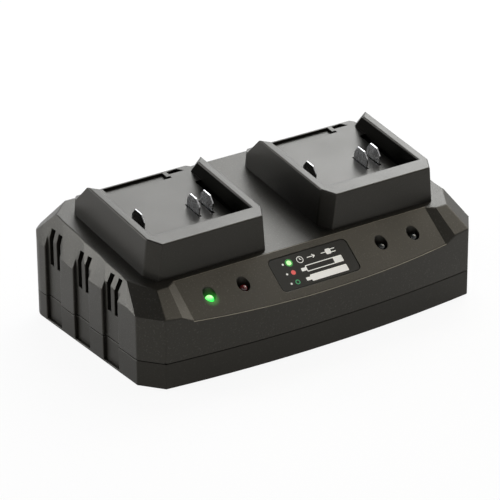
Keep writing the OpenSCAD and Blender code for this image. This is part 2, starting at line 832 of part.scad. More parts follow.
fuse_in = 16;
fuse_x = fuse_in - board_half;
fuse_y = board_front + 28;
fuse_r = 2.6;
fuse_l = 20;
fuse_lift = 6;
fuse_axis = board_top + fuse_lift;
clip_w = 7.6;
clip_l = 4;
clip_h = 9.2;
clip_t = 1;

module fuse() {
    color("#dfe6e8") translate([fuse_x, fuse_y - fuse_l / 2, fuse_axis]) rotate([-90, 0, 0])
        cylinder(r = fuse_r, h = fuse_l);
}

module fuse_clips() {
    color("#c9cacb") for (s = [-1, 1])
        translate([fuse_x - clip_w / 2, fuse_y + s * (fuse_l / 2 - clip_l + clip_t) - clip_l / 2, board_top])
            difference() {
                cube([clip_w, clip_l, clip_h]);
                translate([clip_w / 2, -1, fuse_lift]) rotate([-90, 0, 0])
                    cylinder(r = fuse_r + 0.05, h = clip_l + 2);
                translate([clip_w / 2 - fuse_r * 0.6, -1, fuse_lift])
                    cube([fuse_r * 1.2, clip_l + 2, clip_h]);
                translate([clip_t, -1, clip_t])
                    cube([clip_w - 2 * clip_t, clip_l + 2, fuse_lift - fuse_r - 1.6 * clip_t]);
            }
}

// ---- mains inlet --------------------------------------------------------

// Origin on the back wall's outer face, +Y pointing out
module on_inlet() {
    translate([inlet_x, back_y, inlet_z]) children();
}

// Housing behind the wall and flange in front of it, grown by g
module inlet_shell(g, inner, outer) {
    translate([-inlet_body_w / 2 - g, -inner, -inlet_body_h / 2 - g])
        cube([inlet_body_w + 2 * g, inner + outer, inlet_body_h + 2 * g]);
}

module mains_inlet() {
    color("#26251f") on_inlet() difference() {
        union() {
            inlet_shell(0, inlet_body_l, 0);
            translate([-inlet_body_w / 2 - inlet_flange, -wall - 1.6, -inlet_body_h / 2 - inlet_flange])
                cube([inlet_body_w + 2 * inlet_flange, 1.6, inlet_body_h + 2 * inlet_flange]);
        }
        for (s = [-1, 1]) translate([s * inlet_pitch / 2, -inlet_depth, 0]) rotate([-90, 0, 0])
            cylinder(r = inlet_cup_r, h = far);
        translate([-inlet_pitch / 2, -inlet_depth, -inlet_cup_r * 0.7])
            cube([inlet_pitch, far, inlet_cup_r * 1.4]);
        for (s = [-1, 1]) translate([s * inlet_pitch / 2, -far / 2, 0]) rotate([-90, 0, 0])
            cylinder(r = pin_r + 0.03, h = far);
    }
}

module inlet_pins() {
    color("#c9cacb") on_inlet() for (s = [-1, 1])
        translate([s * inlet_pitch / 2, -inlet_body_l - 3, 0]) rotate([-90, 0, 0])
            cylinder(r = pin_r, h = inlet_body_l + 1.5);
}

// ---- fan ----------------------------------------------------------------

// Origin on the fan's axis at its inner face, the axis along +Z
module on_fan() {
    translate([fan_x0, fan_y, fan_z]) rotate([0, 90, 0]) children();
}

module fan_frame() {
    s = fan_size;
    color("#22211d") on_fan() difference() {
        union() {
            difference() {
                translate([-s / 2, -s / 2, 0]) cube([s, s, fan_t]);
                translate([0, 0, -1]) cylinder(r = fan_bore, h = fan_t + 2);
                for (x = [-1, 1], y = [-1, 1]) translate([x * (s / 2 - 3.6), y * (s / 2 - 3.6), -1])
                    cylinder(r = 1.7, h = fan_t + 2);
            }
            // Four struts carry the bearing plate
            for (a = [45:90:315]) rotate([0, 0, a]) translate([fan_hub - 1, -1.2, fan_t - fan_plate])
                cube([fan_bore - fan_hub + 2, 2.4, fan_plate]);
            translate([0, 0, fan_t - fan_plate]) cylinder(r = fan_hub, h = fan_plate);
            translate([0, 0, fan_t - fan_plate - 3]) cylinder(r = 3, h = 4);
        }
        translate([0, 0, fan_t - fan_plate - 4]) cylinder(r = shaft_r + shaft_gap, h = far);
    }
}

module fan_impeller() {
    depth = fan_t - fan_plate - 1.1;
    color("#2b2a26") on_fan() {
        difference() {
            translate([0, 0, 0.6]) cylinder(r = fan_hub, h = depth);
            translate([0, 0, 2]) cylinder(r = fan_hub - 1.4, h = fan_t);
        }
        translate([0, 0, 1.4]) cylinder(r = shaft_r, h = fan_t - 2);
        intersection() {
            for (i = [0:fan_blades - 1]) rotate([0, 0, i * 360 / fan_blades])
                translate([fan_hub - 0.6, 0, 0.6 + depth / 2]) rotate([38, 0, 0])
                    translate([0, -depth, -0.5]) cube([fan_tip, 2 * depth, 1]);
            difference() {
                translate([0, 0, 0.8]) cylinder(r = fan_tip, h = depth - 0.4);
                translate([0, 0, -1]) cylinder(r = fan_hub - 0.7, h = far);
            }
        }
    }
}

// ---- feet and fasteners -------------------------------------------------

module rubber_feet() {
    color("#1a1a18") foot_places(foot_d / 2 - clear / 2, 0, foot_lift + foot_seat);
}

module case_screws() {
    z = foot_lift + head_sink;
    color("#77787a") case_posts(head_r, z - head_t, z);
    color("#77787a") case_posts(thread_r, z - eps, seam_z + 3 * bite_l);
}

module terminal_screw_pair(xc) {
    on_deck(xc) for (x = tap_places) translate([x, lead_y, block_low - head_t]) {
        cylinder(r = screw_d - 0.4, h = head_t);
        cylinder(r = tap_thread_r, h = head_t + block_seat - block_low - 1);
    }
}

module terminal_screws() {
    color("#b9babb") terminal_screw_pair(-dock_x);
    color("#b9babb") terminal_screw_pair(dock_x);
}

lower_case();
upper_case();
left_dock();
right_dock();
left_blade_a();
left_blade_b();
left_blade_c();
right_blade_a();
right_blade_b();
right_blade_c();
left_terminal_block();
right_terminal_block();
left_leads();
right_leads();
status_label();
led_1();
led_2();
led_3();
led_4();
led_board();
main_board();
transformer_core();
transformer_winding();
capacitor_1();
capacitor_2();
heat_sink_1();
heat_sink_2();
choke();
relay();
fuse();
fuse_clips();
mains_inlet();
inlet_pins();
fan_frame();
fan_impeller();
rubber_feet();
case_screws();
board_screws();
led_board_screws();
terminal_screws();
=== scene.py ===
"""Looks of a twin-dock battery charger for cordless tools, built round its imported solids.

Lengths in the classes are millimetres in the object's own frame: X along the front, +Y towards
the back wall, +Z up. They become metres where a mesh is made.
"""

import logging
import math
from dataclasses import dataclass
from enum import Enum
from typing import Callable, Optional, Sequence, Union

import bmesh
import bpy
import numpy as np
from mathutils import Matrix, Quaternion, Vector


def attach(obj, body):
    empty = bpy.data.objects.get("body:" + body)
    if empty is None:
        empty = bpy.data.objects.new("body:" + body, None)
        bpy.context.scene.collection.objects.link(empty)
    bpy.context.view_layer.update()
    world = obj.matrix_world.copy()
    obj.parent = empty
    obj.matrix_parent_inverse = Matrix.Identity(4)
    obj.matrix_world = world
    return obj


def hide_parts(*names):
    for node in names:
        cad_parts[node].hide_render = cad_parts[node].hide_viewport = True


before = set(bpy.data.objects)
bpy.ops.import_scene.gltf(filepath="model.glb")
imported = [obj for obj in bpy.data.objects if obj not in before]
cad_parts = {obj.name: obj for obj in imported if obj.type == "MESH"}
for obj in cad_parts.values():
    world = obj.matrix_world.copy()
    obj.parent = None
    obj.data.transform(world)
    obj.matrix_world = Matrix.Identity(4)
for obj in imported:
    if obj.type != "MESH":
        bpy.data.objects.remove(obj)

LOG = logging.getLogger("charger")
MM = 0.001
FAR = math.inf
Array = np.ndarray
Pair = tuple[float, float]
Triple = tuple[float, float, float]
Colour = Triple
Node, Socket = bpy.types.Node, bpy.types.NodeSocket
Material, Object = bpy.types.Material, bpy.types.Object
Term = Union["Sock", float]
Inputs = dict[Union[str, int], object]


class Rig(Enum):
    """The moving groups of the object."""

    CHARGER = "charger"
    ROTOR = "fan_rotor"


class Slot(Enum):
    """The record's material slots that new pieces take."""

    CASE_LOWER = "case_lower"
    CASE_UPPER = "case_upper"
    DOCK = "dock"
    CONTACT = "contact"
    LABEL = "label"
    LED_LIT = "led_green_lit"
    LED_RED = "led_red"
    LED_GREEN = "led_green"
    INLET = "inlet_plastic"
    PIN = "pin_metal"
    FAN = "fan_plastic"
    IMPELLER = "impeller_plastic"
    RUBBER = "rubber"
    SCREW = "screw"


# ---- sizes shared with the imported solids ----


@dataclass(frozen=True)
class Plan:
    """Main sizes of the object, in millimetres and degrees."""

    deck_height: float = 58.3
    deck_tilt: float = 8.1
    panel_top: float = -40.1
    panel_tilt: float = 36.7
    dock_x: float = 56.0

    def deck_z(self, y: Union[float, Array]) -> Union[float, Array]:
        """Height of the deck plane at places along Y."""
        return self.deck_height + y * math.tan(math.radians(self.deck_tilt))

    def panel_z(self, y: Union[float, Array]) -> Union[float, Array]:
        """Height of the sloped panel's plane at places along Y."""
        slope = math.tan(math.radians(self.panel_tilt))
        return self.deck_z(self.panel_top) + (y - self.panel_top) * slope

    def on_panel(self) -> Array:
        """Matrix of the sloped panel's frame, with its origin on the panel's upper edge."""
        return turned("X", self.panel_tilt, (0.0, self.panel_top, self.deck_z(self.panel_top)))


PLAN = Plan()


# ---- shader maths ----


class Sock:
    """A shader value that Python's arithmetic works on, one Math node for each operation."""

    def __init__(self, shader: "Shader", socket: Socket) -> None:
        """Wraps an output that gives one number."""
        self.shader, self.socket = shader, socket

    def _math(self, operation: str, *terms: Term) -> "Sock":
        """The result of one Math node with these operands."""
        inputs = dict(enumerate(terms))
        return self.shader.out(self.shader.node("ShaderNodeMath", {"operation": operation}, inputs))

    def __add__(self, other: Term) -> "Sock":
        """self + other."""
        return self._math("ADD", self, other)

    __radd__ = __add__

    def __sub__(self, other: Term) -> "Sock":
        """self - other."""
        return self._math("SUBTRACT", self, other)

    def __rsub__(self, other: float) -> "Sock":
        """other - self."""
        return self._math("SUBTRACT", other, self)

    def __mul__(self, other: Term) -> "Sock":
        """self * other."""
        return self._math("MULTIPLY", self, other)

    __rmul__ = __mul__

    def at_least(self, other: Term) -> "Sock":
        """The larger of self and other."""
        return self._math("MAXIMUM", self, other)

    def clamped(self) -> "Sock":
        """The value held between 0 and 1."""
        return self.shader.out(self.shader.node("ShaderNodeClamp", {}, {0: self}))

    def above(self, level: float, soft: float) -> "Sock":
        """A ramp from 0 to 1, 2 * soft wide, with its middle where the value rises past level."""
        return ((self - (level - soft)) * (0.5 / soft)).clamped()

    def below(self, level: float, soft: float) -> "Sock":
        """A ramp from 1 to 0, 2 * soft wide, with its middle where the value rises past level."""
        return (((level + soft) - self) * (0.5 / soft)).clamped()

    def swing(self, size: float) -> "Sock":
        """Noise of 0 to 1 moved to lie round 0, size from its lowest to its highest."""
        return (self - 0.5) * size


class Shader:
    """The nodes of one material or of the world, built from expressions."""

    def __init__(self, owner: Union[Material, bpy.types.World]) -> None:
        """Starts with no nodes but the coordinates.

        Args:
            owner: The new material or world.
        """
        owner.use_nodes = True
        self.owner = owner
        self.tree = owner.node_tree
        self.tree.nodes.clear()
        self.place = self.node("ShaderNodeTexCoord", {}, {}).outputs["Object"]

    def node(self, kind: str, settings: dict[str, object], inputs: Inputs) -> Node:
        """Adds a node, sets it up, then fills its sockets.

        Args:
            kind: The node's type.
            settings: Its own settings.
            inputs: Socket name or number to a value, a socket or a Sock.

        Returns:
            The new node.
        """
        made = self.tree.nodes.new(kind)
        for key, value in settings.items():
            setattr(made, key, value)
        for key, value in inputs.items():
            value = value.socket if isinstance(value, Sock) else value
            if isinstance(value, Socket):
                self.tree.links.new(value, made.inputs[key])
            elif made.inputs[key].type == "RGBA":
                made.inputs[key].default_value = (*value, 1.0)
            else:
                made.inputs[key].default_value = value
        return made

    def out(self, node: Node, name: Union[str, int] = 0) -> Sock:
        """One output of a node, as a Sock."""
        return Sock(self, node.outputs[name])

    def stretched(self, scale: Triple, shift: Triple = (0.0, 0.0, 0.0)) -> Socket:
        """Object coordinates scaled along each axis after a shift.

        Args:
            scale: Factor for each axis.
            shift: Metres added before scaling.

        Returns:
            The vector socket.
        """
        moved = self.node("ShaderNodeVectorMath", {"operation": "ADD"}, {0: self.place, 1: shift})
        both = {0: moved.outputs[0], 1: scale}
        return self.node("ShaderNodeVectorMath", {"operation": "MULTIPLY"}, both).outputs[0]

    def axes(self, vector: Socket) -> list[Sock]:
        """X, Y and Z of a vector, as three Socks."""
        split = self.node("ShaderNodeSeparateXYZ", {}, {0: vector})
        return [self.out(split, k) for k in range(3)]

    def measured(self, origin: Triple = (0.0, 0.0, 0.0), unit: float = 1.0) -> list[Sock]:
        """X, Y and Z from a point in millimetres, counted in units of so many millimetres."""
        shift = tuple(-value * MM for value in origin)
        return self.axes(self.stretched((1 / MM / unit,) * 3, shift))

    def noise(
        self, grain_mm: float, detail: float = 3.0, rough: float = 0.55,
        place: Optional[Socket] = None,
    ) -> Sock:
        """Cloudy noise from 0 to 1.

        Args:
            grain_mm: How large its largest features are.
            detail: How many finer layers lie over them.
            rough: How strong each finer layer is.
            place: Coordinates to read in place of the object's own.

        Returns:
            The noise.
        """
        inputs = {"Vector": place or self.place, "Scale": 1 / MM / grain_mm}
        inputs.update({"Detail": detail, "Roughness": rough})
        return self.out(self.node("ShaderNodeTexNoise", {}, inputs))

    def blend(self, share: Term, low: object, high: object) -> Socket:
        """Mixes two colours or colour sockets: a share of 0 gives low, and 1 gives high."""
        inputs = {0: share, 6: low, 7: high}
        return self.node("ShaderNodeMix", {"data_type": "RGBA"}, inputs).outputs[2]

    def bump(self, height: Sock, depth_mm: float) -> Socket:
        """A normal that follows a height of 0 to 1, depth_mm deep."""
        inputs = {"Height": height, "Distance": depth_mm * MM, "Strength": 1.0}
        return self.node("ShaderNodeBump", {}, inputs).outputs[0]

    def mixed(self, share: Sock, low: Node, high: Node) -> Node:
        """Mixes two shaders: a share of 0 gives low, and 1 gives high."""
        inputs = {0: share, 1: low.outputs[0], 2: high.outputs[0]}
        return self.node("ShaderNodeMixShader", {}, inputs)

    def end(self, shader: Node, kind: str = "ShaderNodeOutputMaterial") -> None:
        """Sends a shader to the output."""
        self.node(kind, {}, {"Surface": shader.outputs[0]})


# ---- finishes ----

CHARCOAL = (0.0090, 0.0084, 0.0070)
CHARCOAL_BASE = (0.0076, 0.0070, 0.0056)
CHARCOAL_DOCK = (0.0066, 0.0062, 0.0054)
# painted shade for the docks' grooves and the walls below their lips
PAINTED_GROOVE_SHADE = (0.004, 0.004, 0.0035)
BARE_TIN = (0.55, 0.56, 0.58)
BARE_ALUMINIUM = (0.62, 0.63, 0.65)
FINE_RELIEF = 0.006


@dataclass(frozen=True)
class Finish:
    """A named look, whose kinds each work out the sockets of their own shader."""

    name: str
    colour: Colour

    def toned(self, factor: float, lift: float = 0.0) -> Colour:
        """The colour times a factor, plus a lift, held at white."""
        return tuple(min(1.0, c * factor + lift) for c in self.colour)

    def sockets(self, s: Shader) -> Inputs:
        """The inputs of the shader."""
        raise NotImplementedError

    def surface(self, s: Shader, sockets: Inputs) -> Node:
        """The shader that the sockets feed."""
        return s.node("ShaderNodeBsdfPrincipled", {}, sockets)

    def material(self) -> Material:
        """Builds the material.

        Returns:
            The new material, ended in its shader.
        """
        s = Shader(bpy.data.materials.new(self.name))
        s.end(self.surface(s, self.sockets(s)))
        return s.owner


@dataclass(frozen=True)
class MouldedPlastic(Finish):
    """Spark-textured moulding: fine pits, cloudy handling marks and a few pale specks."""

    roughness: float = 0.42
    grain_mm: float = 0.55
    depth_mm: float = 0.02
    specks: float = 0.25
    mottle: float = 0.18
    sheen: float = 0.3
    gloss_tint: Colour = (1.0, 0.95, 0.84)
    cloud_mm: float = 34.0

    def sockets(self, s: Shader) -> Inputs:
        """Noise pits drive the bump, and clouds drive colour and roughness.

        Args:
            s: The new material.

        Returns:
            Its inputs.
        """
        pits = s.noise(self.grain_mm, 4.0, 0.6)
        clouds = s.noise(self.cloud_mm, 3.0, 0.5)
        dust = s.noise(self.grain_mm * 1.7, 2.0, 0.5).above(0.64, 0.05)
        base = s.blend(clouds, self.toned(1 - self.mottle), self.toned(1 + self.mottle))
        return {
            "Base Color": s.blend(dust * self.specks, base, self.toned(3.2, lift=0.012)),
            "Roughness": clouds.swing(0.16) + pits.swing(0.1) + self.roughness,
            "Normal": s.bump(pits, self.depth_mm),
            "Specular IOR Level": self.sheen,
            "Specular Tint": self.gloss_tint,
        }


@dataclass(frozen=True)
class PanelledSkin(MouldedPlastic):
    """The upper case's moulding: painted highlights on the panel's edges, and a painted glow of the
    light spilt by the lit lamp.

    The panel's front edge is an arc round (0, centre_y), and its surface rises by slope from
    panel_z at panel_top. Spill is by the square of the distance from the lamp.
    """

    centre_y: float = 756.38
    front_radius: float = 821.08
    highlight_band: float = 0.26
    panel_top: float = PLAN.panel_top
    panel_z: float = 52.59
    slope: float = 0.7454
    half: float = 83.0
    # colour of the painted highlight on the panel's edges
    edge: Colour = (0.50, 0.46, 0.37)
    lamp: Triple = (-67.0, -51.3, 41.0)
    # colour of the painted glow of light spilt round the lit lamp
    spill: Colour = (0.04, 0.26, 0.035)
    spill_square: float = 20.5
    spill_soft: float = 13.0

    def sockets(self, s: Shader) -> Inputs:
        """Paints highlights on the panel's lower and upper edges, and paints a glow round the lit
        lamp.

        Args:
            s: The new material.

        Returns:
            Its inputs.
        """
        sockets = super().sockets(s)
        x, y, z = s.measured()
        over = z - (y - self.panel_top) * self.slope - self.panel_z
        away = y - self.centre_y
        rim = (self.front_radius - self.highlight_band) ** 2
        # painted highlights: a band along the panel's lower front edge, and one half as strong
        # along its upper edge
        lower = (x * x + away * away).above(rim, 130.0) * over.above(-0.3, 0.08)
        upper = y.above(self.panel_top - 0.2, 0.06) * over.above(-0.12, 0.05) * 0.5
        inside = (x * x).below(self.half ** 2, 60.0)
        sockets["Base Color"] = s.blend((lower + upper) * inside, sockets["Base Color"], self.edge)
        # painted glow round the lit lamp, given as the skin's own emission
        dx, dy, dz = x - self.lamp[0], y - self.lamp[1], z - self.lamp[2]
        near = (dx * dx + dy * dy + dz * dz).below(self.spill_square, self.spill_soft)
        sockets["Emission Color"] = s.blend(near * near, (0.0, 0.0, 0.0), self.spill)
        sockets["Emission Strength"] = 1.0
        return sockets


@dataclass(frozen=True)
class DockSkin(MouldedPlastic):
    """A dock's moulding, with painted shade in its grooves and on the inner walls below the lips: a
    dull black blended in where the lips shade them.
    """

    x: float = PLAN.dock_x
    groove: Pair = (31.6, 34.9)
    floor: float = 8.8
    lip: float = 19.8
    reach: Pair = (-28.4, 38.0)
    channel_back: float = 28.2
    # share of the painted shade blended into the grooves
    dull: float = 0.8

    def surface(self, s: Shader, sockets: Inputs) -> Node:
        """Blends the skin with painted shade, a dull black, in the grooves, in the deck's tilted
        frame.

        Args:
            s: The new material.
            sockets: Inputs of its glossy shader.

        Returns:
            The blend of both shaders.
        """
        x, y, z = s.measured((self.x, 0.0, PLAN.deck_height))
        tilt = math.radians(PLAN.deck_tilt)
        height = z * math.cos(tilt) - y * math.sin(tilt)
        along = y * math.cos(tilt) + z * math.sin(tilt)
        square = x * x
        # masks of the painted shade: the grooves and the walls below the lips, which the lips shade
        deep = square.above(self.groove[0] ** 2, 12.0) * square.below(self.groove[1] ** 2, 6.0)
        bay = along.above(self.reach[0], 0.2) * along.below(self.reach[1], 0.5)
        walls = height.above(self.floor + 0.2, 0.1) + along.below(self.channel_back, 0.2)
        under = height.below(self.lip, 0.15) * walls.above(0.5, 0.5) * bay
        painted_shade = s.node("ShaderNodeBsdfDiffuse", {}, {"Color": PAINTED_GROOVE_SHADE})
        return s.mixed(deep * under * self.dull, super().surface(s, sockets), painted_shade)


@dataclass(frozen=True)
class PlatedMetal(Finish):
    """Stamped and plated strip with fine rolling lines."""

    roughness: float = 0.24
    line_mm: float = 0.25
    tarnish: float = 0.35
    along: Triple = (0.06, 1.0, 0.06)

    def sockets(self, s: Shader) -> Inputs:
        """Stretched noise gives the rolling lines, and clouds give the tarnish.

        Args:
            s: The new material.

        Returns:
            Its inputs.
        """
        lines = s.noise(self.line_mm, 3.0, 0.6, s.stretched(self.along))
        clouds = s.noise(5.0, 3.0, 0.6)
        stain = clouds.above(0.52, 0.16)
        return {
            "Base Color": s.blend(stain, self.colour, self.toned(1 - self.tarnish)),
            "Roughness": lines.swing(0.22) + clouds.swing(0.16) + self.roughness,
            "Metallic": 1.0,
            "Normal": s.bump(lines, FINE_RELIEF),
        }


def glowing(colour: Socket, strength: float) -> Inputs:
    """Inputs of a shader with light of its own, or none where its strength is 0."""
    return {"Emission Color": colour, "Emission Strength": strength} if strength > 0 else {}


@dataclass(frozen=True)
class LampDome(Finish):
    """Epoxy dome of a round light, darker at its rim, glowing or not."""

    rim: Colour
    glow: float
    centre: Pair
    radius: float

    def sockets(self, s: Shader) -> Inputs:
        """The distance from the lamp's axis blends the core's colour into the rim's.

        Args:
            s: The new material.

        Returns:
            Its inputs.
        """
        x, y, _ = s.measured((*self.centre, 0.0), self.radius)
        edge = (x * x + y * y).above(0.62, 0.3)
        haze = s.noise(1.4, 2.0)
        base = s.blend(haze * 0.25, s.blend(edge, self.colour, self.rim), self.rim)
        coat = {"Coat Weight": 0.6, "Coat Roughness": 0.03}
        rough = haze * 0.08 + 0.06
        return {"Base Color": base, "Roughness": rough, **coat, **glowing(base, self.glow)}


@dataclass(frozen=True)
class PrintedFilm(Finish):
    """Satin film or screen ink: even colour, faint orange peel and ink density, with a painted glow
    where glow is over 0.
    """

    roughness: float = 0.4
    glow: float = 0.0
    peel_mm: float = 0.8
    sheen: float = 0.2

    def sockets(self, s: Shader) -> Inputs:
        """Slow noise varies the ink's density, and fine noise its gloss.

        Args:
            s: The new material.

        Returns:
            Its inputs.
        """
        peel, ink = s.noise(self.peel_mm, 2.0), s.noise(6.0, 3.0)
        base = s.blend(ink, self.toned(0.88), self.colour)
        return {
            "Base Color": base,
            "Roughness": peel * 0.1 + self.roughness,
            "Normal": s.bump(peel, FINE_RELIEF),
            "Specular IOR Level": self.sheen,
            # painted glow of the ink, where glow is over 0
            **glowing(base, self.glow),
        }


@dataclass(frozen=True)
class SmoothPlastic(Finish):
    """Hard glossy or satin plastic with streaks of its flow and fine scuffs."""

    roughness: float = 0.3
    streak_mm: float = 3.0
    along: Triple = (1.0, 1.0, 0.15)

    def sockets(self, s: Shader) -> Inputs:
        """Stretched noise varies the colour, and fine noise the gloss.

        Args:
            s: The new material.

        Returns:
            Its inputs.
        """
        streaks = s.noise(self.streak_mm, 3.0, 0.5, s.stretched(self.along))
        scuffs = s.noise(0.7, 3.0, 0.7)
        return {
            "Base Color": s.blend(streaks, self.toned(0.8), self.toned(1.2)),
            "Roughness": scuffs.swing(0.16) + self.roughness,
            "Normal": s.bump(scuffs, FINE_RELIEF),
        }


@dataclass(frozen=True)
class CircuitLaminate(Finish):
    """Green lacquered laminate with copper tracks and tinned pads."""

    track: Colour
    pitch_mm: float = 5.0

    def sockets(self, s: Shader) -> Inputs:
        """A brick pattern gives the tracks and scattered cells the pads.

        Args:
            s: The new material.

        Returns:
            Its inputs.
        """
        settings = {"offset": 0.37, "squash": 0.6, "squash_frequency": 3}
        lines = {"Mortar Size": 0.09, "Mortar Smooth": 0.2, "Brick Width": 1.7, "Row Height": 0.8}
        lines.update({"Vector": s.place, "Scale": 1 / MM / self.pitch_mm})
        tracks = s.out(s.node("ShaderNodeTexBrick", settings, lines), "Fac")
        dots = {"Vector": s.place, "Scale": 1 / MM / (self.pitch_mm * 0.9)}
        pads = s.out(s.node("ShaderNodeTexVoronoi", {}, dots)).below(0.2, 0.03)
        return {
            "Base Color": s.blend(pads, s.blend(tracks, self.colour, self.track), BARE_TIN),
            "Roughness": 0.34 - pads * 0.08,
            "Metallic": pads,
            "Normal": s.bump(tracks + pads, 0.05),
        }


@dataclass(frozen=True)
class Sleeve(Finish):
    """Shrink sleeve of a capacitor, with a pale minus stripe and a bare scored top."""

    middle: Pair
    top: float
    stripe: Colour = (0.5, 0.52, 0.54)

    def sockets(self, s: Shader) -> Inputs:
        """Height picks the bare top, and the distance to one side picks the stripe.

        Args:
            s: The new material.

        Returns:
            Its inputs.
        """
        x, y, z = s.measured((*self.middle, 0.0))
        bare = z.above(self.top - 0.5, 0.1)
        stripe = (x * 0.86 + y * 0.5).above(7.6, 0.1)
        grain = s.noise(1.2, 3.0)
        return {
            "Base Color": s.blend(bare, s.blend(stripe, self.colour, self.stripe), BARE_ALUMINIUM),
            "Roughness": grain * 0.16 + 0.24,
            "Metallic": bare,
            "Normal": s.bump(grain, 0.01),
        }


@dataclass(frozen=True)
class ClearGlass(Finish):
    """Thin glass tube with faint smears."""

    def sockets(self, s: Shader) -> Inputs:
        """A transmitting shader whose smears come from noise in its roughness.

        Args:
            s: The new material.

        Returns:
            Its inputs.
        """
        smear = s.noise(2.5, 3.0)
        base = s.blend(smear, self.toned(0.9), self.colour)
        clear = {"Transmission Weight": 0.85, "IOR": 1.5}
        return {"Base Color": base, "Roughness": smear * 0.1 + 0.02, **clear}


# ---- shapes ----


@dataclass
class Surface:
    """Points in millimetres and the faces between them."""

    points: Array
    faces: list[tuple[int, ...]]

    def placed(self, where: Array) -> "Surface":
        """The same surface moved by a 4 by 4 matrix without mirroring."""
        return Surface(self.points @ where[:3, :3].T + where[:3, 3], self.faces)

    @staticmethod
    def joined(parts: Sequence["Surface"]) -> "Surface":
        """Puts several surfaces together.

        Args:
            parts: The surfaces.

        Returns:
            One surface, with its parts in their order.
        """
        starts = np.cumsum([0] + [len(p.points) for p in parts]).tolist()
        faces = [tuple(i + start for i in f) for p, start in zip(parts, starts) for f in p.faces]
        return Surface(np.vstack([p.points for p in parts]), faces)


def skin(grid: Array, round_v: bool = True, cap_ends: bool = False) -> Surface:
    """Faces over a grid of points.

    Point (u, v) joins (u + 1, v), (u + 1, v + 1) and (u, v + 1). Points that fall on each other,
    such as the ring at a pole, become one.

    Args:
        grid: Points as an array of rows, columns and 3, in millimetres.
        round_v: Whether the last column joins the first.
        cap_ends: Whether the first and last row are closed by one face each.

    Returns:
        The surface, its faces outwards where u runs to the right of v seen from outside.
    """
    rows, columns = grid.shape[:2]
    index = np.arange(rows * columns).reshape(rows, columns)
    right = np.roll(index, -1, axis=1) if round_v else index[:, 1:]
    left = index if round_v else index[:, :-1]
    quads = np.stack([left[:-1], right[:-1], right[1:], left[1:]], axis=-1).reshape(-1, 4)
    flat = grid.reshape(-1, 3)
    _, first, back = np.unique(np.round(flat, 5), axis=0, return_index=True, return_inverse=True)
    back = back.reshape(-1)
    rings = back[quads].tolist()
    if cap_ends:
        rings += [back[index[0][::-1]].tolist(), back[index[-1]].tolist()]
    faces = [tuple(dict.fromkeys(ring)) for ring in rings]
    return Surface(flat[first], [face for face in faces if len(face) > 2])


def swept(r: Array, z: Array, turn: Array, centre: Pair = (0.0, 0.0)) -> Array:
    """Grid of the points at radius r and height z on each line of a turn round an upright axis.

    Point (u, v) is centre + (r[u] cos turn[v], r[u] sin turn[v]), at the height z[u].

    Args:
        r: Radius of each row.
        z: Height of each row.
        turn: Angle of each column.
        centre: Where the axis stands.

    Returns:
        Points as an array of rows, columns and 3.
    """
    x = centre[0] + r[:, None] * np.cos(turn)
    y = centre[1] + r[:, None] * np.sin(turn)
    return np.stack([x, y, np.broadcast_to(z[:, None], x.shape)], axis=-1)


def lathe(profile: Sequence[Pair], centre: Pair = (0.0, 0.0), steps: int = 48) -> Surface:
    """A profile of (radius, height) turned round an upright axis, by equal steps."""
    r, z = np.array(profile, float).T
    return skin(swept(r, z, np.linspace(0, 2 * math.pi, steps, endpoint=False), centre))


def quarter_round(radius: float, height: float, size: float, rise: float, steps: int) -> list[Pair]:
    """The rounded edge of a lathe's profile, size wide and rise high, from its side to its end.

    Its points are (radius - size (1 - cos a), height - rise (1 - sin a)), a from 0 to 90 degrees.
    """
    turn = np.linspace(0, math.pi / 2, steps).tolist()
    return [(radius - size * (1 - math.cos(a)), height - rise * (1 - math.sin(a))) for a in turn]


def rounded_outline(width: float, height: float, radius: float, steps: int = 8) -> Array:
    """Points round a rectangle with round corners, anticlockwise, centred on the origin.

    Each corner is a quarter of a circle, and the straight sides run between them.

    Args:
        width: Length along X.
        height: Length along Y.
        radius: Radius of the corners.
        steps: Count of points on each corner.

    Returns:
        The points.
    """
    turn = np.linspace(0, math.pi / 2, steps)
    corner = np.stack([np.cos(turn), np.sin(turn)], axis=-1) * radius
    reach = (width / 2 - radius, height / 2 - radius)
    quarter_turn = np.array([(0, 1), (-1, 0)], float)
    points = []
    for centre in np.array([(1, 1), (-1, 1), (-1, -1), (1, -1)], float) * reach:
        points.append(centre + corner)
        corner = corner @ quarter_turn
    return np.vstack(points)


def circle_outline(radius: float, steps: int = 32) -> Array:
    """Points round a circle, anticlockwise."""
    turn = np.linspace(0, 2 * math.pi, steps, endpoint=False)
    return np.stack([np.cos(turn), np.sin(turn)], axis=-1) * radius


def stacked(rings: Sequence[tuple[Array, float]], middle: Pair) -> Array:
    """Grid of outlines, each at its own height, round the same middle."""
    return np.stack([np.column_stack([o + middle, np.full(len(o), z)]) for o, z in rings])


def plate(outline: Array, low: float, high: float, middle: Pair, ease: float = 0.0) -> Surface:
    """A flat plate: the outline carried up from low to high, its top edge eased inwards.

    Args:
        outline: Points round the plate, anticlockwise.
        low: Height of its underside.
        high: Height of its top.
        middle: Where the outline's origin goes.
        ease: Width of the small slope round the top.

    Returns:
        The closed plate.
    """
    inner = outline * (1 - ease / np.abs(outline).max(axis=0))
    rings = [(outline, low), (outline, high - ease)] + ([(inner, high)] if ease else [])
    return skin(stacked(rings, middle), cap_ends=True)


def turned(axis: str, degrees: float, shift: Sequence[float] = (0.0, 0.0, 0.0)) -> Array:
    """A turn followed by a shift.

    Args:
        axis: X, Y or Z.
        degrees: How far it turns.
        shift: How far it moves afterwards.

    Returns:
        The 4 by 4 matrix.
    """
    matrix = np.array(Matrix.Rotation(math.radians(degrees), 4, axis))
    matrix[:3, 3] = shift
    return matrix


def both_sides(x: float, ys: Sequence[float], z: float) -> list[Triple]:
    """Places at -x and at x, each at every y."""
    return [(side * x, y, z) for side in (-1, 1) for y in ys]


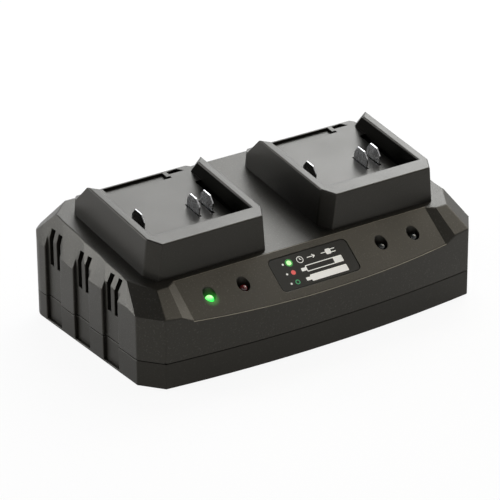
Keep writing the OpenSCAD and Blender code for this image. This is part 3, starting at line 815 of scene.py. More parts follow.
def linked(name: str, data: bpy.types.ID) -> Object:
    """Puts data into the scene.

    Args:
        name: The object's name.
        data: A mesh, lamp or camera.

    Returns:
        The new object, at the origin.
    """
    obj = bpy.data.objects.new(name, data)
    bpy.context.scene.collection.objects.link(obj)
    return obj


def aimed(name: str, data: bpy.types.ID, place: Vector, turn: Quaternion) -> Object:
    """Puts a lamp or camera into the scene.

    Args:
        name: Its name.
        data: The lamp or camera.
        place: Where it goes, in metres.
        turn: How it is turned.

    Returns:
        The new object.
    """
    obj = linked(name, data)
    obj.location, obj.rotation_mode, obj.rotation_quaternion = place, "QUATERNION", turn
    return obj


def make_object(name: str, surface: Surface, smooth_deg: float = 35.0) -> Object:
    """Puts a surface into the scene.

    Args:
        name: The piece's name.
        surface: Its points in millimetres, and faces.
        smooth_deg: Edges that turn by less than this are shaded smooth.

    Returns:
        The new object, at the origin.
    """
    mesh = bpy.data.meshes.new(name)
    mesh.from_pydata((surface.points * MM).tolist(), [], surface.faces)
    mesh.validate()
    mesh.shade_smooth()
    mesh.set_sharp_from_angle(angle=math.radians(smooth_deg))
    return linked(name, mesh)


def dress(
    obj: Object, material: Material, slot: Slot, *nodes: str,
    rig: Rig = Rig.CHARGER,
) -> None:
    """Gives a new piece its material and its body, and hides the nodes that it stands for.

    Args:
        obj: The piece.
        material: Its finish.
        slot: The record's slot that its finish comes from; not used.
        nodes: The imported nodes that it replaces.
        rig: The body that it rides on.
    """
    obj.data.materials.clear()
    obj.data.materials.append(material)
    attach(obj, rig.value)
    if nodes:
        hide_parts(*nodes)
    LOG.info("%s: %d faces, rides on %s", obj.name, len(obj.data.polygons), rig.value)


def paint(material: Material, *nodes: str) -> None:
    """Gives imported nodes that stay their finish.

    Args:
        material: The finish.
        nodes: The nodes' names.
    """
    for node in nodes:
        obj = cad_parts[node]
        obj.data.materials.clear()
        obj.data.materials.append(material)
        LOG.info("%s keeps its solid and gets %s", node, material.name)


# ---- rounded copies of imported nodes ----


@dataclass(frozen=True)
class Zone:
    """A box mirrored across the middle, and the share of their rounding that its edges keep."""

    x: Pair = (-FAR, FAR)
    y: Pair = (-FAR, FAR)
    z: Pair = (-FAR, FAR)
    longest: float = FAR
    share: float = 0.0

    def holds(self, middles: Array, lengths: Array) -> Array:
        """Finds the edges in the box.

        Args:
            middles: Middle of each edge.
            lengths: Length of each edge.

        Returns:
            Whether each is short enough and has |x|, y and z of its middle in the box.
        """
        low, high = np.array([self.x, self.y, self.z]).T
        place = np.column_stack([np.abs(middles[:, 0]), middles[:, 1:]])
        return ((place > low) & (place < high)).all(axis=1) & (lengths < self.longest)


def softened(weights: Array, zones: Sequence[Zone], middles: Array, lengths: Array) -> Array:
    """Each edge's weight times the share of every zone that holds its middle."""
    for zone in zones:
        weights = weights * np.where(zone.holds(middles, lengths), zone.share, 1.0)
    return weights


def pulled(rows: bpy.types.bpy_prop_collection, key: str, kind: type, width: int = 1) -> Array:
    """Reads one attribute of all faces, corners or edges of a mesh.

    Args:
        rows: The faces, corners or edges.
        key: The attribute.
        kind: Type of its numbers.
        width: How many numbers each row has.

    Returns:
        The numbers, in rows where there are several for each.
    """
    values = np.empty(len(rows) * width, kind)
    rows.foreach_get(key, values)
    return values.reshape(-1, width) if width > 1 else values


@dataclass
class RoundedSolid:
    """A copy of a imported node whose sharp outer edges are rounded, as a moulding's are.

    Edges up to crease_mm long are shaded hard from sharp_deg up, and longer ones from crease_deg.
    Two faces are nearly level where the cosine of the angle between them is over level_cos.
    """

    node: str
    radius: float = 0.5
    sharp_deg: float = 22.0
    crease_deg: float = 6.0
    crease_mm: float = 3.5
    level_cos: float = 0.9945
    merge_mm: float = 0.002
    flat_deg: float = 0.06
    segments: int = 3
    softness: Optional[Callable[[Array, Array], Array]] = None

    def build(
        self, name: str, material: Material, slot: Slot, rig: Rig = Rig.CHARGER
    ) -> None:
        """Copies, merges, rounds and dresses the node.

        Args:
            name: The new piece's name.
            material: Its finish.
            slot: The record's slot that its finish comes from.
            rig: The body that it rides on.
        """
        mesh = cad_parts[self.node].data.copy()
        mesh.name = name
        stale = mesh.attributes.get("custom_normal")
        if stale is not None:
            mesh.attributes.remove(stale)
        work = bmesh.new()
        work.from_mesh(mesh)
        self.weigh(work)
        work.to_mesh(mesh)
        work.free()
        obj = linked(name, mesh)
        bevel = obj.modifiers.new("rounding", "BEVEL")
        bevel.limit_method = "WEIGHT"
        bevel.width = self.radius * MM
        bevel.segments = self.segments
        bevel.use_clamp_overlap = False
        bevel.loop_slide = False
        bevel.miter_outer = "MITER_ARC" if self.segments > 2 else "MITER_SHARP"
        self.even_shading(obj)
        dress(obj, material, slot, self.node, rig=rig)

    def weigh(self, work: bmesh.types.BMesh) -> None:
        """Merges the loose triangles, then weights each convex edge and marks the hard ones.

        Args:
            work: The node's mesh.
        """
        bmesh.ops.remove_doubles(work, verts=work.verts, dist=self.merge_mm * MM)
        bmesh.ops.dissolve_limit(
            work, angle_limit=math.radians(self.flat_deg), verts=work.verts, edges=work.edges,
            use_dissolve_boundaries=False,
        )
        many_sided = [face for face in work.faces if len(face.verts) > 4]
        bmesh.ops.triangulate(work, faces=many_sided, quad_method="BEAUTY", ngon_method="BEAUTY")
        layer = work.edges.layers.float.new("bevel_weight_edge")
        edges = list(work.edges)
        middles = np.array([(e.verts[0].co + e.verts[1].co) / 2 for e in edges]) / MM
        lengths = np.array([e.calc_length() for e in edges]) / MM
        angles = np.degrees([e.calc_face_angle_signed(0.0) for e in edges])
        full = self.softness(middles, lengths) if self.softness else 1.0
        weights = np.where(angles > self.sharp_deg, full, 0.0)
        limits = np.where(lengths > self.crease_mm, self.crease_deg, self.sharp_deg)
        smooth = (np.abs(angles) < limits) | (weights > 0)
        for edge, weight, is_smooth in zip(edges, weights.tolist(), smooth.tolist()):
            edge[layer] = weight
            edge.smooth = is_smooth
        for face in work.faces:
            face.smooth = True

    def even_shading(self, obj: Object) -> None:
        """Applies the rounding, then gives every corner a normal of its own.

        A corner averages its face, the faces across its two smooth edges and the nearly level
        faces round it, by area. So flat faces stay flat up to their edges, twisted ones are
        shaded evenly, and the narrow rounded strips bend between them.

        Args:
            obj: The piece with its Bevel.
        """
        held = obj.evaluated_get(bpy.context.evaluated_depsgraph_get())
        mesh = bpy.data.meshes.new_from_object(held)
        obj.modifiers.clear()
        obj.data = mesh
        total = pulled(mesh.polygons, "loop_total", np.int64)
        normal = pulled(mesh.polygons, "normal", float, 3)
        push = normal * pulled(mesh.polygons, "area", float)[:, None]
        edge = pulled(mesh.loops, "edge_index", np.int64)
        vertex = pulled(mesh.loops, "vertex_index", np.int64)
        sharp = pulled(mesh.edges, "use_edge_sharp", bool)
        here = np.arange(len(edge))
        face = np.repeat(np.arange(len(total)), total)
        start = np.cumsum(total) - total
        before = here - 1
        before[start] = start + total - 1
        order = np.argsort(edge, kind="stable")
        paired = edge[order[:-1]] == edge[order[1:]]
        first, second = order[:-1][paired], order[1:][paired]
        twin = here.copy()
        twin[first], twin[second] = second, first
        corner = push[face]
        for side in (here, before):
            joined = ~sharp[edge[side]] & (twin[side] != side)
            corner += np.where(joined[:, None], push[face[twin[side]]], 0.0)
        order = np.argsort(vertex, kind="stable")
        unit = normal[face]
        for shift in range(1, int(np.bincount(vertex).max())):
            one, two = order[:-shift], order[shift:]
            level = (unit[one] * unit[two]).sum(axis=1) > self.level_cos
            near = (vertex[one] == vertex[two]) & level
            one, two = one[near], two[near]
            corner[one] += push[face[two]]
            corner[two] += push[face[one]]
        corner /= np.maximum(np.linalg.norm(corner, axis=1), 1e-12)[:, None]
        mesh.normals_split_custom_set(corner.tolist())


# ---- sub-assemblies ----


@dataclass
class Case:
    """The two moulded case halves with their rounded edges."""

    upper_radius: float = 0.7
    lower_radius: float = 0.5
    shell_depth: float = 1.2
    side_x: float = 106.8
    back_y: float = 63.5
    front_y: float = -45.5
    corner_x: float = 99.9
    corner_run: float = 13.0
    corner_slope: float = 0.95
    seam_z: float = 16.2
    under_z: float = 1.5
    outer_walls: tuple[Zone, ...] = (
        Zone(x=(107.0, FAR)),
        Zone(y=(-FAR, -56.0), z=(17.5, FAR)),
        Zone(y=(60.0, FAR)),
    )
    softer: tuple[Zone, ...] = (
        Zone(x=(19.0, 93.0), y=(-35.0, 44.0), z=(50.0, FAR)),  # under the docks
        Zone(x=(-FAR, 27.5), y=(-62.0, -43.0), z=(30.0, FAR), share=0.45),  # the label's recess
        Zone(x=(40.0, 72.0), y=(-55.0, -46.0), z=(38.0, FAR), share=0.45),  # the lights' holes
        Zone(x=(107.0, 109.0), z=(31.0, 58.0), longest=26.0, share=0.5),  # the vents
        Zone(z=(-FAR, 17.2), share=0.5),  # the rim on the lower half
        Zone(x=(98.0, FAR), y=(52.0, FAR), z=(-FAR, 52.0)),  # the cut back corners
    )

    def upper_edges(self, middles: Array, lengths: Array) -> Array:
        """Weight of each edge: full on the outer form, small round openings, none inside.

        Args:
            middles: Middle of each edge.
            lengths: Length of each edge.

        Returns:
            Weights from 0 to 1.
        """
        _, y, z = middles.T
        deck = PLAN.deck_z(y)
        top = np.minimum(deck, np.where(y < PLAN.panel_top, PLAN.panel_z(y), deck))
        outer = z > top - self.shell_depth
        for wall in self.outer_walls:
            outer |= wall.holds(middles, lengths)
        return softened(outer, self.softer, middles, lengths)

    def lower_edges(self, middles: Array, lengths: Array) -> Array:
        """Weight of each edge of the lower half: its outer edges, and less underneath.

        The front wall swings back towards the cut front corners.

        Args:
            middles: Middle of each edge.
            lengths: Length of each edge, which doesn't matter here.

        Returns:
            Weights from 0 to 1.
        """
        x, y, z = np.abs(middles[:, 0]), middles[:, 1], middles[:, 2]
        front = self.front_y - (self.corner_x - x).clip(0, self.corner_run) * self.corner_slope
        outer = (x > self.side_x) | (y > self.back_y) | (y < front)
        return np.where(outer & (z < self.seam_z), 1.0, np.where(z < self.under_z, 0.6, 0.0))

    def build(self) -> None:
        """Makes both halves."""
        skin_finish = PanelledSkin(
            "charcoal_skin", CHARCOAL, roughness=0.40, grain_mm=0.6, depth_mm=0.06, specks=0.6,
            sheen=0.38,
        ).material()
        base_finish = MouldedPlastic("charcoal_base", CHARCOAL_BASE, 0.44, 0.6).material()
        upper = RoundedSolid("upper_case", self.upper_radius, softness=self.upper_edges)
        upper.build("case_upper_skin", skin_finish, Slot.CASE_UPPER)
        lower = RoundedSolid("lower_case", self.lower_radius, softness=self.lower_edges)
        lower.build("case_lower_skin", base_finish, Slot.CASE_LOWER)


@dataclass
class Dock:
    """One battery dock with its three contact blades and the parts below it."""

    side: str
    x: float
    rim_radius: float = 0.8
    blade_radius: float = 0.22
    underside: float = 0.4
    softer: tuple[Zone, ...] = (
        Zone(x=(-FAR, 34.7), z=(-FAR, 17.0), share=0.4),  # the inner walls
        Zone(x=(-FAR, 34.7), z=(8.3, 9.3), longest=16.0, share=0.5),  # slots in the floor
        Zone(x=(-FAR, 34.7), z=(17.0, 20.7), share=0.2),  # below the lips
        Zone(x=(30.5, FAR), y=(36.5, FAR), z=(-FAR, 20.5)),  # the walls' ends
        Zone(x=(-FAR, 33.9), y=(-33.0, 44.4), z=(-FAR, 8.0)),  # pockets and slots
    )

    def edges(self, middles: Array, lengths: Array) -> Array:
        """Weight of each edge, by its place in the deck's frame: outside full, pockets none."""
        local = (middles - (self.x, 0.0, PLAN.deck_height)) @ turned("X", PLAN.deck_tilt)[:3, :3]
        return softened(local[:, 2] > self.underside, self.softer, local, lengths)

    def build(self) -> None:
        """Makes the dock, its blades, and dresses the block and leads."""
        side = self.side
        finish = DockSkin(
            f"dock_skin_{side}", CHARCOAL_DOCK, roughness=0.34, grain_mm=0.5, depth_mm=0.03,
            sheen=0.35, x=self.x,
        ).material()
        dock = RoundedSolid(f"{side}_dock", self.rim_radius, softness=self.edges)
        dock.build(f"dock_{side}", finish, Slot.DOCK)
        metal = PlatedMetal(f"contact_plating_{side}", (0.66, 0.66, 0.67), 0.26).material()
        for key in "abc":
            blade = RoundedSolid(f"{side}_blade_{key}", self.blade_radius, segments=2)
            blade.build(f"contact_{side}_{key}", metal, Slot.CONTACT)
        block = SmoothPlastic(f"block_plastic_{side}", (0.03, 0.04, 0.05), 0.4).material()
        paint(block, f"{side}_terminal_block")
        jacket = SmoothPlastic(f"lead_jacket_{side}", (0.35, 0.04, 0.03), 0.35, 1.5).material()
        paint(jacket, f"{side}_leads")


@dataclass
class Lights:
    """Four round lights in the sloped panel."""

    outer: float = 67.0
    inner: float = 45.4
    y: float = -50.5
    base: float = 35.44
    top: float = 44.04
    radius: float = 2.5
    flange: float = 2.9
    flange_height: float = 0.9
    steps: int = 12

    def dome(self, x: float) -> Surface:
        """One light: a flanged cylinder under half a sphere, turned round its axis.

        Args:
            x: Where its axis stands.

        Returns:
            The closed surface.
        """
        shoulder = self.base + self.flange_height
        foot = [(0.0, self.base), (self.flange, self.base), (self.flange, shoulder)]
        cap = quarter_round(self.radius, self.top, self.radius, self.radius, self.steps)
        return lathe([*foot, (self.radius, shoulder + 0.1), *cap], (x, self.y))

    def build(self) -> None:
        """Makes the four lights; the outer left one glows."""
        lit = ((0.26, 0.86, 0.20), (0.02, 0.50, 0.06), 2.6, Slot.LED_LIT)
        red = ((0.17, 0.006, 0.008), (0.06, 0.002, 0.003), 0.0, Slot.LED_RED)
        green = ((0.013, 0.017, 0.014), (0.004, 0.006, 0.005), 0.0, Slot.LED_GREEN)
        places = (-self.outer, -self.inner, self.inner, self.outer)
        for number, x, look in zip((1, 2, 3, 4), places, (lit, red, green, green)):
            core, rim, glow, slot = look
            epoxy = LampDome(f"lamp_epoxy_{number}", core, rim, glow, (x, self.y), self.radius)
            piece = make_object(f"lamp_{number}", self.dome(x), 50)
            dress(piece, epoxy.material(), slot, f"led_{number}")


@dataclass
class StatusLabel:
    """Film in the sloped panel, with its printed pictograms.

    Strokes are (x0, y0, x1, y1, thickness), their heights counted from the top row.
    """

    middle: float = -14.54
    width: float = 51.0
    length: float = 20.2
    corner: float = 2.8
    low: float = -0.6
    top: float = -0.2
    sunk: float = 0.01
    ink: float = 0.03
    rows: Triple = (-8.9, -15.0, -21.0)
    marks: Triple = (-17.6, -18.1, -18.5)
    dots: Triple = (-13.6, -14.0, -14.4)
    cell: Pair = (-5.6, 18.4)
    cell_height: float = 4.0
    clock_x: float = -6.4
    plug_x: float = 12.2
    strokes: tuple[tuple[float, ...], ...] = (
        (-6.4, 0.0, -6.4, 1.2, 0.34), (-6.4, 0.0, -5.5, 0.0, 0.34),  # the clock's hands
        (-1.6, 0.0, 3.2, 0.0, 0.45),  # the arrow
        (3.2, 0.0, 1.8, 1.0, 0.45), (3.2, 0.0, 1.8, -1.0, 0.45),
        (7.6, 0.0, 10.6, 0.0, 0.45),  # the plug's lead and pins
        (13.8, 0.95, 16.6, 0.95, 0.5), (13.8, -0.95, 16.6, -0.95, 0.5),
    )

    def place(self, surface: Surface) -> Surface:
        """Moves a surface from the panel's frame into the object's."""
        return surface.placed(PLAN.on_panel())

    def patch(self, outline: Array, middle: Pair) -> Surface:
        """A filled shape of ink."""
        return plate(outline, self.top - self.sunk, self.top + self.ink, middle)

    def ring(self, outer: Array, thick: float, middle: Pair) -> Surface:
        """A band of ink that follows an outline.

        Args:
            outer: The outline, anticlockwise.
            thick: Width of the band, inwards.
            middle: Where the outline's origin goes.

        Returns:
            The band, closed on all sides.
        """
        low, high = self.top - self.sunk, self.top + self.ink
        inner = outer * (1 - thick / np.abs(outer).max(axis=0))
        rings = [(outer, low), (outer, high), (inner, high), (inner, low), (outer, low)]
        return skin(stacked(rings, middle))

    def stroke(self, x0: float, y0: float, x1: float, y1: float, thick: float) -> Surface:
        """A straight stroke of ink with round ends.

        Args:
            x0: Where it starts, from the label's middle.
            y0: Height of its start from the top row.
            x1: Where it ends.
            y1: Height of its end.
            thick: Its width.

        Returns:
            The stroke: an outline along X, turned to the stroke's direction.
        """
        length, turn = math.hypot(x1 - x0, y1 - y0), math.atan2(y1 - y0, x1 - x0)
        outline = rounded_outline(length + thick, thick, thick / 2 - 0.001, 6)
        spin = turned("Z", -turn * 180 / math.pi)[:2, :2]
        return self.patch(outline @ spin, ((x0 + x1) / 2, (y0 + y1) / 2 + self.rows[0]))

    def battery(self, y: float, full: bool) -> list[Surface]:
        """A battery pictogram, with its nub on the left.

        Args:
            y: Its middle, up the slope.
            full: Whether it is solid ink instead of an outline with one level bar.

        Returns:
            The surfaces of ink.
        """
        x0, x1 = self.cell
        middle, height = ((x0 + x1) / 2, y), self.cell_height
        body = rounded_outline(x1 - x0, height, 0.5, 5)
        nub = self.patch(rounded_outline(3.2, height * 0.5, 0.3, 4), (x0 - 1.5, y))
        if full:
            return [nub, self.patch(body, middle)]
        step = (x1 - x0 - 1.6) / 4
        bar = rounded_outline(step - 0.4, height - 0.5, 0.2, 4)
        return [nub, self.ring(body, 0.5, middle), self.patch(bar, (x1 - 0.4 - step / 2, y))]

    def pale_ink(self) -> list[Surface]:
        """Draws what is printed in white.

        Returns:
            Row marks, clock, plug, arrow and the two batteries.
        """
        top, middle, low = self.rows
        mark = circle_outline(0.62, 20)
        shapes = [self.patch(mark, place) for place in zip(self.marks, self.rows)]
        shapes.append(self.ring(circle_outline(2.1, 36), 0.4, (self.clock_x, top)))
        shapes.append(self.patch(rounded_outline(3.4, 3.4, 0.9, 6), (self.plug_x, top)))
        shapes += [self.stroke(*line) for line in self.strokes]
        return shapes + self.battery(middle, False) + self.battery(low, True)

    def build(self) -> None:
        """Makes the film and its inks."""
        outline = rounded_outline(self.width, self.length, self.corner)
        film = plate(outline, self.low, self.top, (0.0, self.middle), ease=0.12)
        backing = PrintedFilm("label_film", (0.0125, 0.0125, 0.0105), 0.42).material()
        dress(make_object("label_film", self.place(film)), backing, Slot.LABEL, "status_label")
        lit, red, green = zip(self.dots, self.rows)
        dot, halo = circle_outline(1.45), circle_outline(2.3)
        # The glow values paint light into the print: the white ink, the lit dot, its halo and the
        # green and red marks glow, though print has none of its own.
        inks = (
            ("label_ink_white", self.pale_ink(), (0.85, 0.84, 0.8), 0.35),
            ("label_dot_lit", [self.patch(dot, lit)], (0.55, 0.95, 0.42), 0.8),
            ("label_dot_halo", [self.ring(halo, 0.85, lit)], (0.04, 0.26, 0.05), 0.6),
            ("label_ink_green", [self.ring(dot, 0.55, green)], (0.05, 0.30, 0.12), 0.4),
            ("label_ink_red", [self.patch(circle_outline(1.4), red)], (0.62, 0.10, 0.09), 0.5),
        )
        for name, shapes, colour, glow in inks:
            finish = PrintedFilm(f"{name}_finish", colour, glow=glow, peel_mm=0.5).material()
            dress(make_object(name, self.place(Surface.joined(shapes))), finish, Slot.LABEL)


@dataclass
class Fan:
    """The cooling fan behind the right-hand vents."""

    frame_radius: float = 0.35
    blade_radius: float = 0.12
    blade_sharp: float = 40.0

    def build(self) -> None:
        """Rounds the frame and the impeller."""
        dull = MouldedPlastic("fan_frame_skin", (0.020, 0.020, 0.019), 0.38, 0.8).material()
        satin = SmoothPlastic("fan_blade_skin", (0.026, 0.026, 0.025), 0.32).material()
        housing = RoundedSolid("fan_frame", self.frame_radius, segments=2)
        housing.build("fan_housing", dull, Slot.FAN)
        wheel = RoundedSolid("fan_impeller", self.blade_radius, self.blade_sharp, segments=2)
        wheel.build("fan_wheel", satin, Slot.IMPELLER, Rig.ROTOR)


@dataclass
class Inlet:
    """The mains inlet in the back wall and its two pins."""

    x: float = -60.0
    z: float = 29.0
    shell_radius: float = 0.45
    half_pitch: float = 4.3
    pin: float = 1.2
    nose: float = 0.8
    start: float = 44.7
    start_chamfer: float = 0.2
    end: float = 63.2

    def build(self) -> None:
        """Rounds the housing and turns the two pins."""
        shell = MouldedPlastic("inlet_skin", (0.022, 0.022, 0.021), 0.34, 0.7).material()
        housing = RoundedSolid("mains_inlet", self.shell_radius)
        housing.build("inlet_housing", shell, Slot.INLET)
        profile = [
            (0.0, self.start), (self.pin - self.start_chamfer, self.start),
            (self.pin, self.start + self.start_chamfer),
            *quarter_round(self.pin, self.end, self.nose, self.nose, 7), (0.0, self.end),
        ]
        pin = lathe(profile, steps=32)
        places = [(self.x + side * self.half_pitch, 0.0, self.z) for side in (-1, 1)]
        pins = Surface.joined([pin.placed(turned("X", -90, place)) for place in places])
        metal = PlatedMetal("pin_plating", (0.7, 0.69, 0.66), 0.18, 0.3, 0.2).material()
        dress(make_object("inlet_pin_pair", pins), metal, Slot.PIN, "inlet_pins")


@dataclass
class Feet:
    """Four rubber feet in their seats."""

    x: float = 78.0
    ys: Pair = (-44.0, 48.1)
    radius: float = 7.9
    top: float = 2.2
    edge: float = 0.6
    dimple: Pair = (0.42, 0.5)
    dimple_height: float = 0.35

    def build(self) -> None:
        """Turns the four feet: a flat ring round a shallow dimple, with a soft edge."""
        r, inner, high = self.radius, self.dimple, self.dimple_height
        rim = quarter_round(r, 0.0, self.edge, -self.edge, 6)[::-1]
        profile = [(0.0, high), (r * inner[0], high), (r * inner[1], 0.0), *rim]
        profile += [(r, self.top), (0.0, self.top)]
        feet = [lathe(profile, (x, y)) for x, y, _ in both_sides(self.x, self.ys, 0.0)]
        rubber = MouldedPlastic("foot_rubber", (0.018, 0.018, 0.018), 0.72, 0.9, 0.04).material()
        dress(make_object("rubber_pads", Surface.joined(feet)), rubber, Slot.RUBBER, "rubber_feet")


@dataclass(frozen=True)
class Screw:
    """A cross-recessed screw, pointing up, with its head at the bottom."""

    head_radius: float
    head_height: float
    shank_radius: float
    reach: float
    pitch: float = 0.25
    thread: float = 0.12
    slot_width: float = 0.17
    slot_reach: float = 0.62
    slot_depth: float = 0.55

    def surface(self) -> Surface:
        """The whole screw, its head's underside at z = 0 and its tip at head_height + reach.

        The head's outer face is a grid over radius r and angle t: it bulges by a quarter of the
        head's height towards its middle, and a cross of two slots sinks into it, deepest at the
        axis. The shank is a turned profile whose radius ripples with the thread's pitch.

        Returns:
            The closed surface.
        """
        share = np.linspace(0, 1, 14)
        turn = np.linspace(0, 2 * math.pi, 72, endpoint=False)
        face = swept(share * self.head_radius, share, turn)
        width = self.slot_width * self.head_radius
        near = np.minimum(np.abs(face[..., 0]), np.abs(face[..., 1])) / width
        r = share[:, None]
        cross = np.clip(1.6 - near, 0, 1) * np.clip((self.slot_reach - r) * 5, 0, 1)
        sunk = self.slot_depth * cross * (1 - 0.4 * r)
        face[..., 2] = self.head_height * (0.25 * r ** 4 + sunk)
        base, tip = self.head_height, self.head_height + self.reach
        shank, heights = self.shank_radius, np.arange(0, self.reach, self.pitch)
        ripple = [(shank - self.thread * (k % 2), base + h) for k, h in enumerate(heights)]
        rest = [(self.head_radius, base), *ripple, (shank * 0.3, tip), (0.0, tip)]
        return skin(np.vstack([face, swept(*np.array(rest).T, turn)]))


@dataclass
class Fasteners:
    """All the screws, each kind as one piece; a turn of 180 degrees points it down."""

    case: Screw = Screw(3.0, 2.2, 1.25, 20.8)
    board: Screw = Screw(3.0, 2.2, 1.25, 5.6)
    lamp: Screw = Screw(2.2, 1.4, 1.0, 5.6)

    def build(self) -> None:
        """Puts a screw at each place of each kind."""
        even = (1.0, 1.0, 1.0)
        steel = PlatedMetal("screw_steel", (0.36, 0.36, 0.37), 0.34, 0.3, 0.4, even).material()
        zinc = PlatedMetal("screw_zinc", (0.6, 0.6, 0.58), 0.3, 0.3, 0.3, even).material()
        case = both_sides(92.0, (-46.0, 50.1), 5.0)
        board = both_sides(78.0, (-36.0, 40.0), 13.5)
        lamp = both_sides(20.0, (-50.5,), 32.44)
        kinds = (
            ("case_screw_set", self.case, case, 0.0, steel, "case_screws"),
            ("board_screw_set", self.board, board, 180.0, zinc, "board_screws"),
            ("lamp_screw_set", self.lamp, lamp, 0.0, zinc, "led_board_screws"),
        )
        for name, screw, places, turn, metal, node in kinds:
            one = screw.surface()
            parts = [one.placed(turned("X", turn, place)) for place in places]
            dress(make_object(name, Surface.joined(parts)), metal, Slot.SCREW, node)
        paint(zinc, "terminal_screws")


@dataclass
class Electronics:
    """Boards and power parts inside the case."""

    can_x: float = -46.0
    can_ys: Pair = (34.0, -22.0)
    can_top: float = 41.3

    def build(self) -> None:
        """Gives each inner node its finish."""
        looks = [
            (CircuitLaminate("board_laminate", (0.03, 0.16, 0.06), (0.07, 0.27, 0.1)),
             "main_board", "led_board"),
            (MouldedPlastic("ferrite_block", (0.09, 0.09, 0.095), 0.5, 0.9, 0.05),
             "transformer_core"),
            (SmoothPlastic("winding_tape_layers", (0.62, 0.42, 0.05), 0.28, 1.0, (0.1, 0.1, 1.0)),
             "transformer_winding"),
            (PlatedMetal("fin_aluminium", (0.58, 0.58, 0.6), 0.4, 0.4, 0.15, (1.0, 1.0, 0.05)),
             "heat_sink_1", "heat_sink_2"),
            (SmoothPlastic("choke_enamel", (0.05, 0.13, 0.05), 0.35, 1.2), "choke"),
            (SmoothPlastic("relay_cover", (0.03, 0.09, 0.25), 0.22, 6.0), "relay"),
            (ClearGlass("fuse_tube", (0.85, 0.92, 0.92)), "fuse"),
            (PlatedMetal("clip_plating", (0.64, 0.63, 0.6), 0.28), "fuse_clips"),
        ]
        for number, y in enumerate(self.can_ys, 1):
            place = (self.can_x, y)
            can = Sleeve(f"can_sleeve_{number}", (0.02, 0.05, 0.16), place, self.can_top)
            looks.append((can, f"capacitor_{number}"))
        for finish, *nodes in looks:
            paint(finish.material(), *nodes)


# ---- studio ----


COOL_WHITE = (0.96, 0.98, 1.0)
WARM_WHITE = (1.0, 0.94, 0.82)
WHITE = (1.0, 1.0, 1.0)


@dataclass(frozen=True)
class SoftBox:
    """A rectangular area lamp that looks at the object: degrees, metres and watts."""

    name: str
    azimuth: float
    elevation: float
    distance: float
    width: float
    height: float
    power: float
    tint: Colour = WHITE

    def build(self, target: Vector) -> None:
        """Hangs the lamp.

        Args:
            target: Where it looks, in metres.
        """
        a, e = math.radians(self.azimuth), math.radians(self.elevation)
        away = Vector((math.sin(a) * math.cos(e), -math.cos(a) * math.cos(e), math.sin(e)))
        data = bpy.data.lights.new(self.name, "AREA")
        data.shape = "RECTANGLE"
        data.size, data.size_y, data.energy = self.width, self.height, self.power
        data.color = self.tint
        aimed(self.name, data, target + away * self.distance, away.to_track_quat("Z", "Y"))


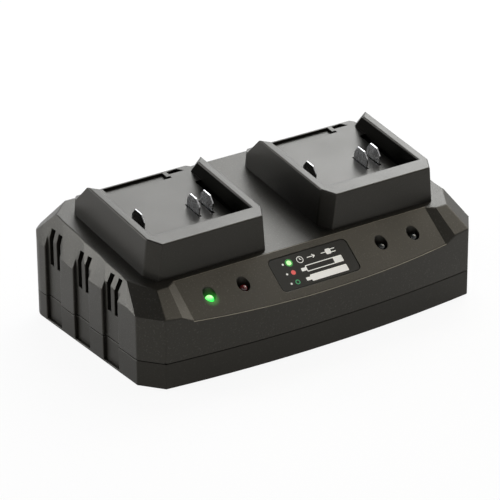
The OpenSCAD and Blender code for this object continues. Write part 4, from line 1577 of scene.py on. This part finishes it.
@dataclass
class Studio:
    """Pale floor, white surroundings, soft lamps and the camera."""

    eye: Triple = (-827.2, -1219.6, 733.3)
    target: Triple = (0.0, 3.03, 41.2)
    lens: float = 212.2
    shift: Pair = (-0.0147, -0.0316)
    roll: float = -0.28
    floor_size: float = 12.0
    floor_drop: float = 0.05
    floor_white: float = 0.92
    floor_mirrored: float = 0.68
    ambient: float = 0.3
    overhead: float = 0.2
    lamps: tuple[SoftBox, ...] = (
        SoftBox("back_near", 140.0, 38.0, 1.0, 0.7, 0.5, 4.1, COOL_WHITE),
        SoftBox("back_right", 122.0, 38.0, 1.2, 0.6, 0.6, 3.9, COOL_WHITE),
        SoftBox("back_high", 145.0, 56.0, 1.3, 0.8, 0.6, 5.2, COOL_WHITE),
        SoftBox("back_left", 219.0, 14.0, 1.8, 1.4, 0.7, 13.0, COOL_WHITE),
        SoftBox("left_low", 242.0, 12.0, 1.5, 0.9, 0.5, 9.0, COOL_WHITE),
        SoftBox("right_high", 69.0, 57.0, 1.6, 0.7, 0.7, 3.6, WARM_WHITE),
        SoftBox("right_side", 95.0, 35.0, 1.5, 0.8, 0.8, 6.0, WARM_WHITE),
        SoftBox("left_glint", -62.0, 48.0, 1.6, 0.12, 0.12, 0.4),
    )

    @staticmethod
    def seen(s: Shader, mirrored: Term) -> Sock:
        """How directly a surface is seen.

        Args:
            s: The shader being built.
            mirrored: The value for reflections.

        Returns:
            1 for rays that a camera or a clear part sends, and 0 for light.
        """
        path = s.node("ShaderNodeLightPath", {}, {})
        direct = s.out(path, "Is Camera Ray") + s.out(path, "Is Transmission Ray")
        return (s.out(path, "Is Glossy Ray") * mirrored + direct).clamped()

    def floor(self) -> None:
        """A wide pale floor that keeps the object's shadow: a flat grid over X and Y."""
        s = Shader(bpy.data.materials.new("studio_floor"))
        base = s.blend(s.noise(60.0, 2.0), (0.86, 0.86, 0.86), (0.9, 0.9, 0.9))
        paint_layer = s.node("ShaderNodeBsdfDiffuse", {}, {"Color": base})
        glow = s.node("ShaderNodeEmission", {}, {"Color": WHITE, "Strength": 1.0})
        s.end(s.mixed(self.seen(s, self.floor_mirrored) * self.floor_white, paint_layer, glow))
        half = self.floor_size / 2 / MM
        line = np.linspace(-half, half, 5)
        x, y = np.meshgrid(line, line, indexing="ij")
        grid = np.stack([x, y, np.full(x.shape, -self.floor_drop)], axis=-1)
        ground = make_object("studio_ground", skin(grid, round_v=False))
        ground.data.materials.append(s.owner)

    def surroundings(self) -> None:
        """A world that looks white, lights softly, and is dim overhead except to the camera."""
        world = bpy.data.worlds.new("white_room")
        bpy.context.scene.world = world
        s = Shader(world)
        rise = s.axes(s.place)[2].above(0.6, 0.2)
        dim = 1.0 - rise * (1.0 - self.overhead)
        strength = self.seen(s, dim).at_least(dim * self.ambient)
        back = s.node("ShaderNodeBackground", {}, {"Strength": strength})
        s.end(back, "ShaderNodeOutputWorld")

    def camera(self) -> None:
        """The camera at the photograph's angle."""
        data = bpy.data.cameras.new("photo_camera")
        data.sensor_width, data.sensor_fit, data.lens = 36.0, "HORIZONTAL", self.lens
        data.shift_x, data.shift_y = self.shift
        data.clip_start, data.clip_end = 0.05, 40.0
        eye, target = Vector(self.eye) * MM, Vector(self.target) * MM
        aim = (target - eye).to_track_quat("-Z", "Y").to_matrix()
        roll = Matrix.Rotation(math.radians(self.roll), 3, "Z")
        turn = (aim @ roll).to_quaternion()
        bpy.context.scene.camera = aimed("photo_camera", data, eye, turn)

    def build(self) -> None:
        """Sets up the whole studio."""
        bpy.context.scene.view_settings.view_transform = "Standard"
        self.camera()
        self.floor()
        self.surroundings()
        for lamp in self.lamps:
            lamp.build(Vector(self.target) * MM)


def main() -> None:
    """Builds the studio and every sub-assembly in order."""
    logging.basicConfig(level=logging.INFO, format="%(message)s")
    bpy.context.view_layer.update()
    parts = (
        Studio(), Case(), Dock("left", -PLAN.dock_x), Dock("right", PLAN.dock_x), Lights(),
        StatusLabel(), Fan(), Inlet(), Feet(), Fasteners(), Electronics(),
    )
    for part in parts:
        part.build()


if __name__ == "__main__":
    main()
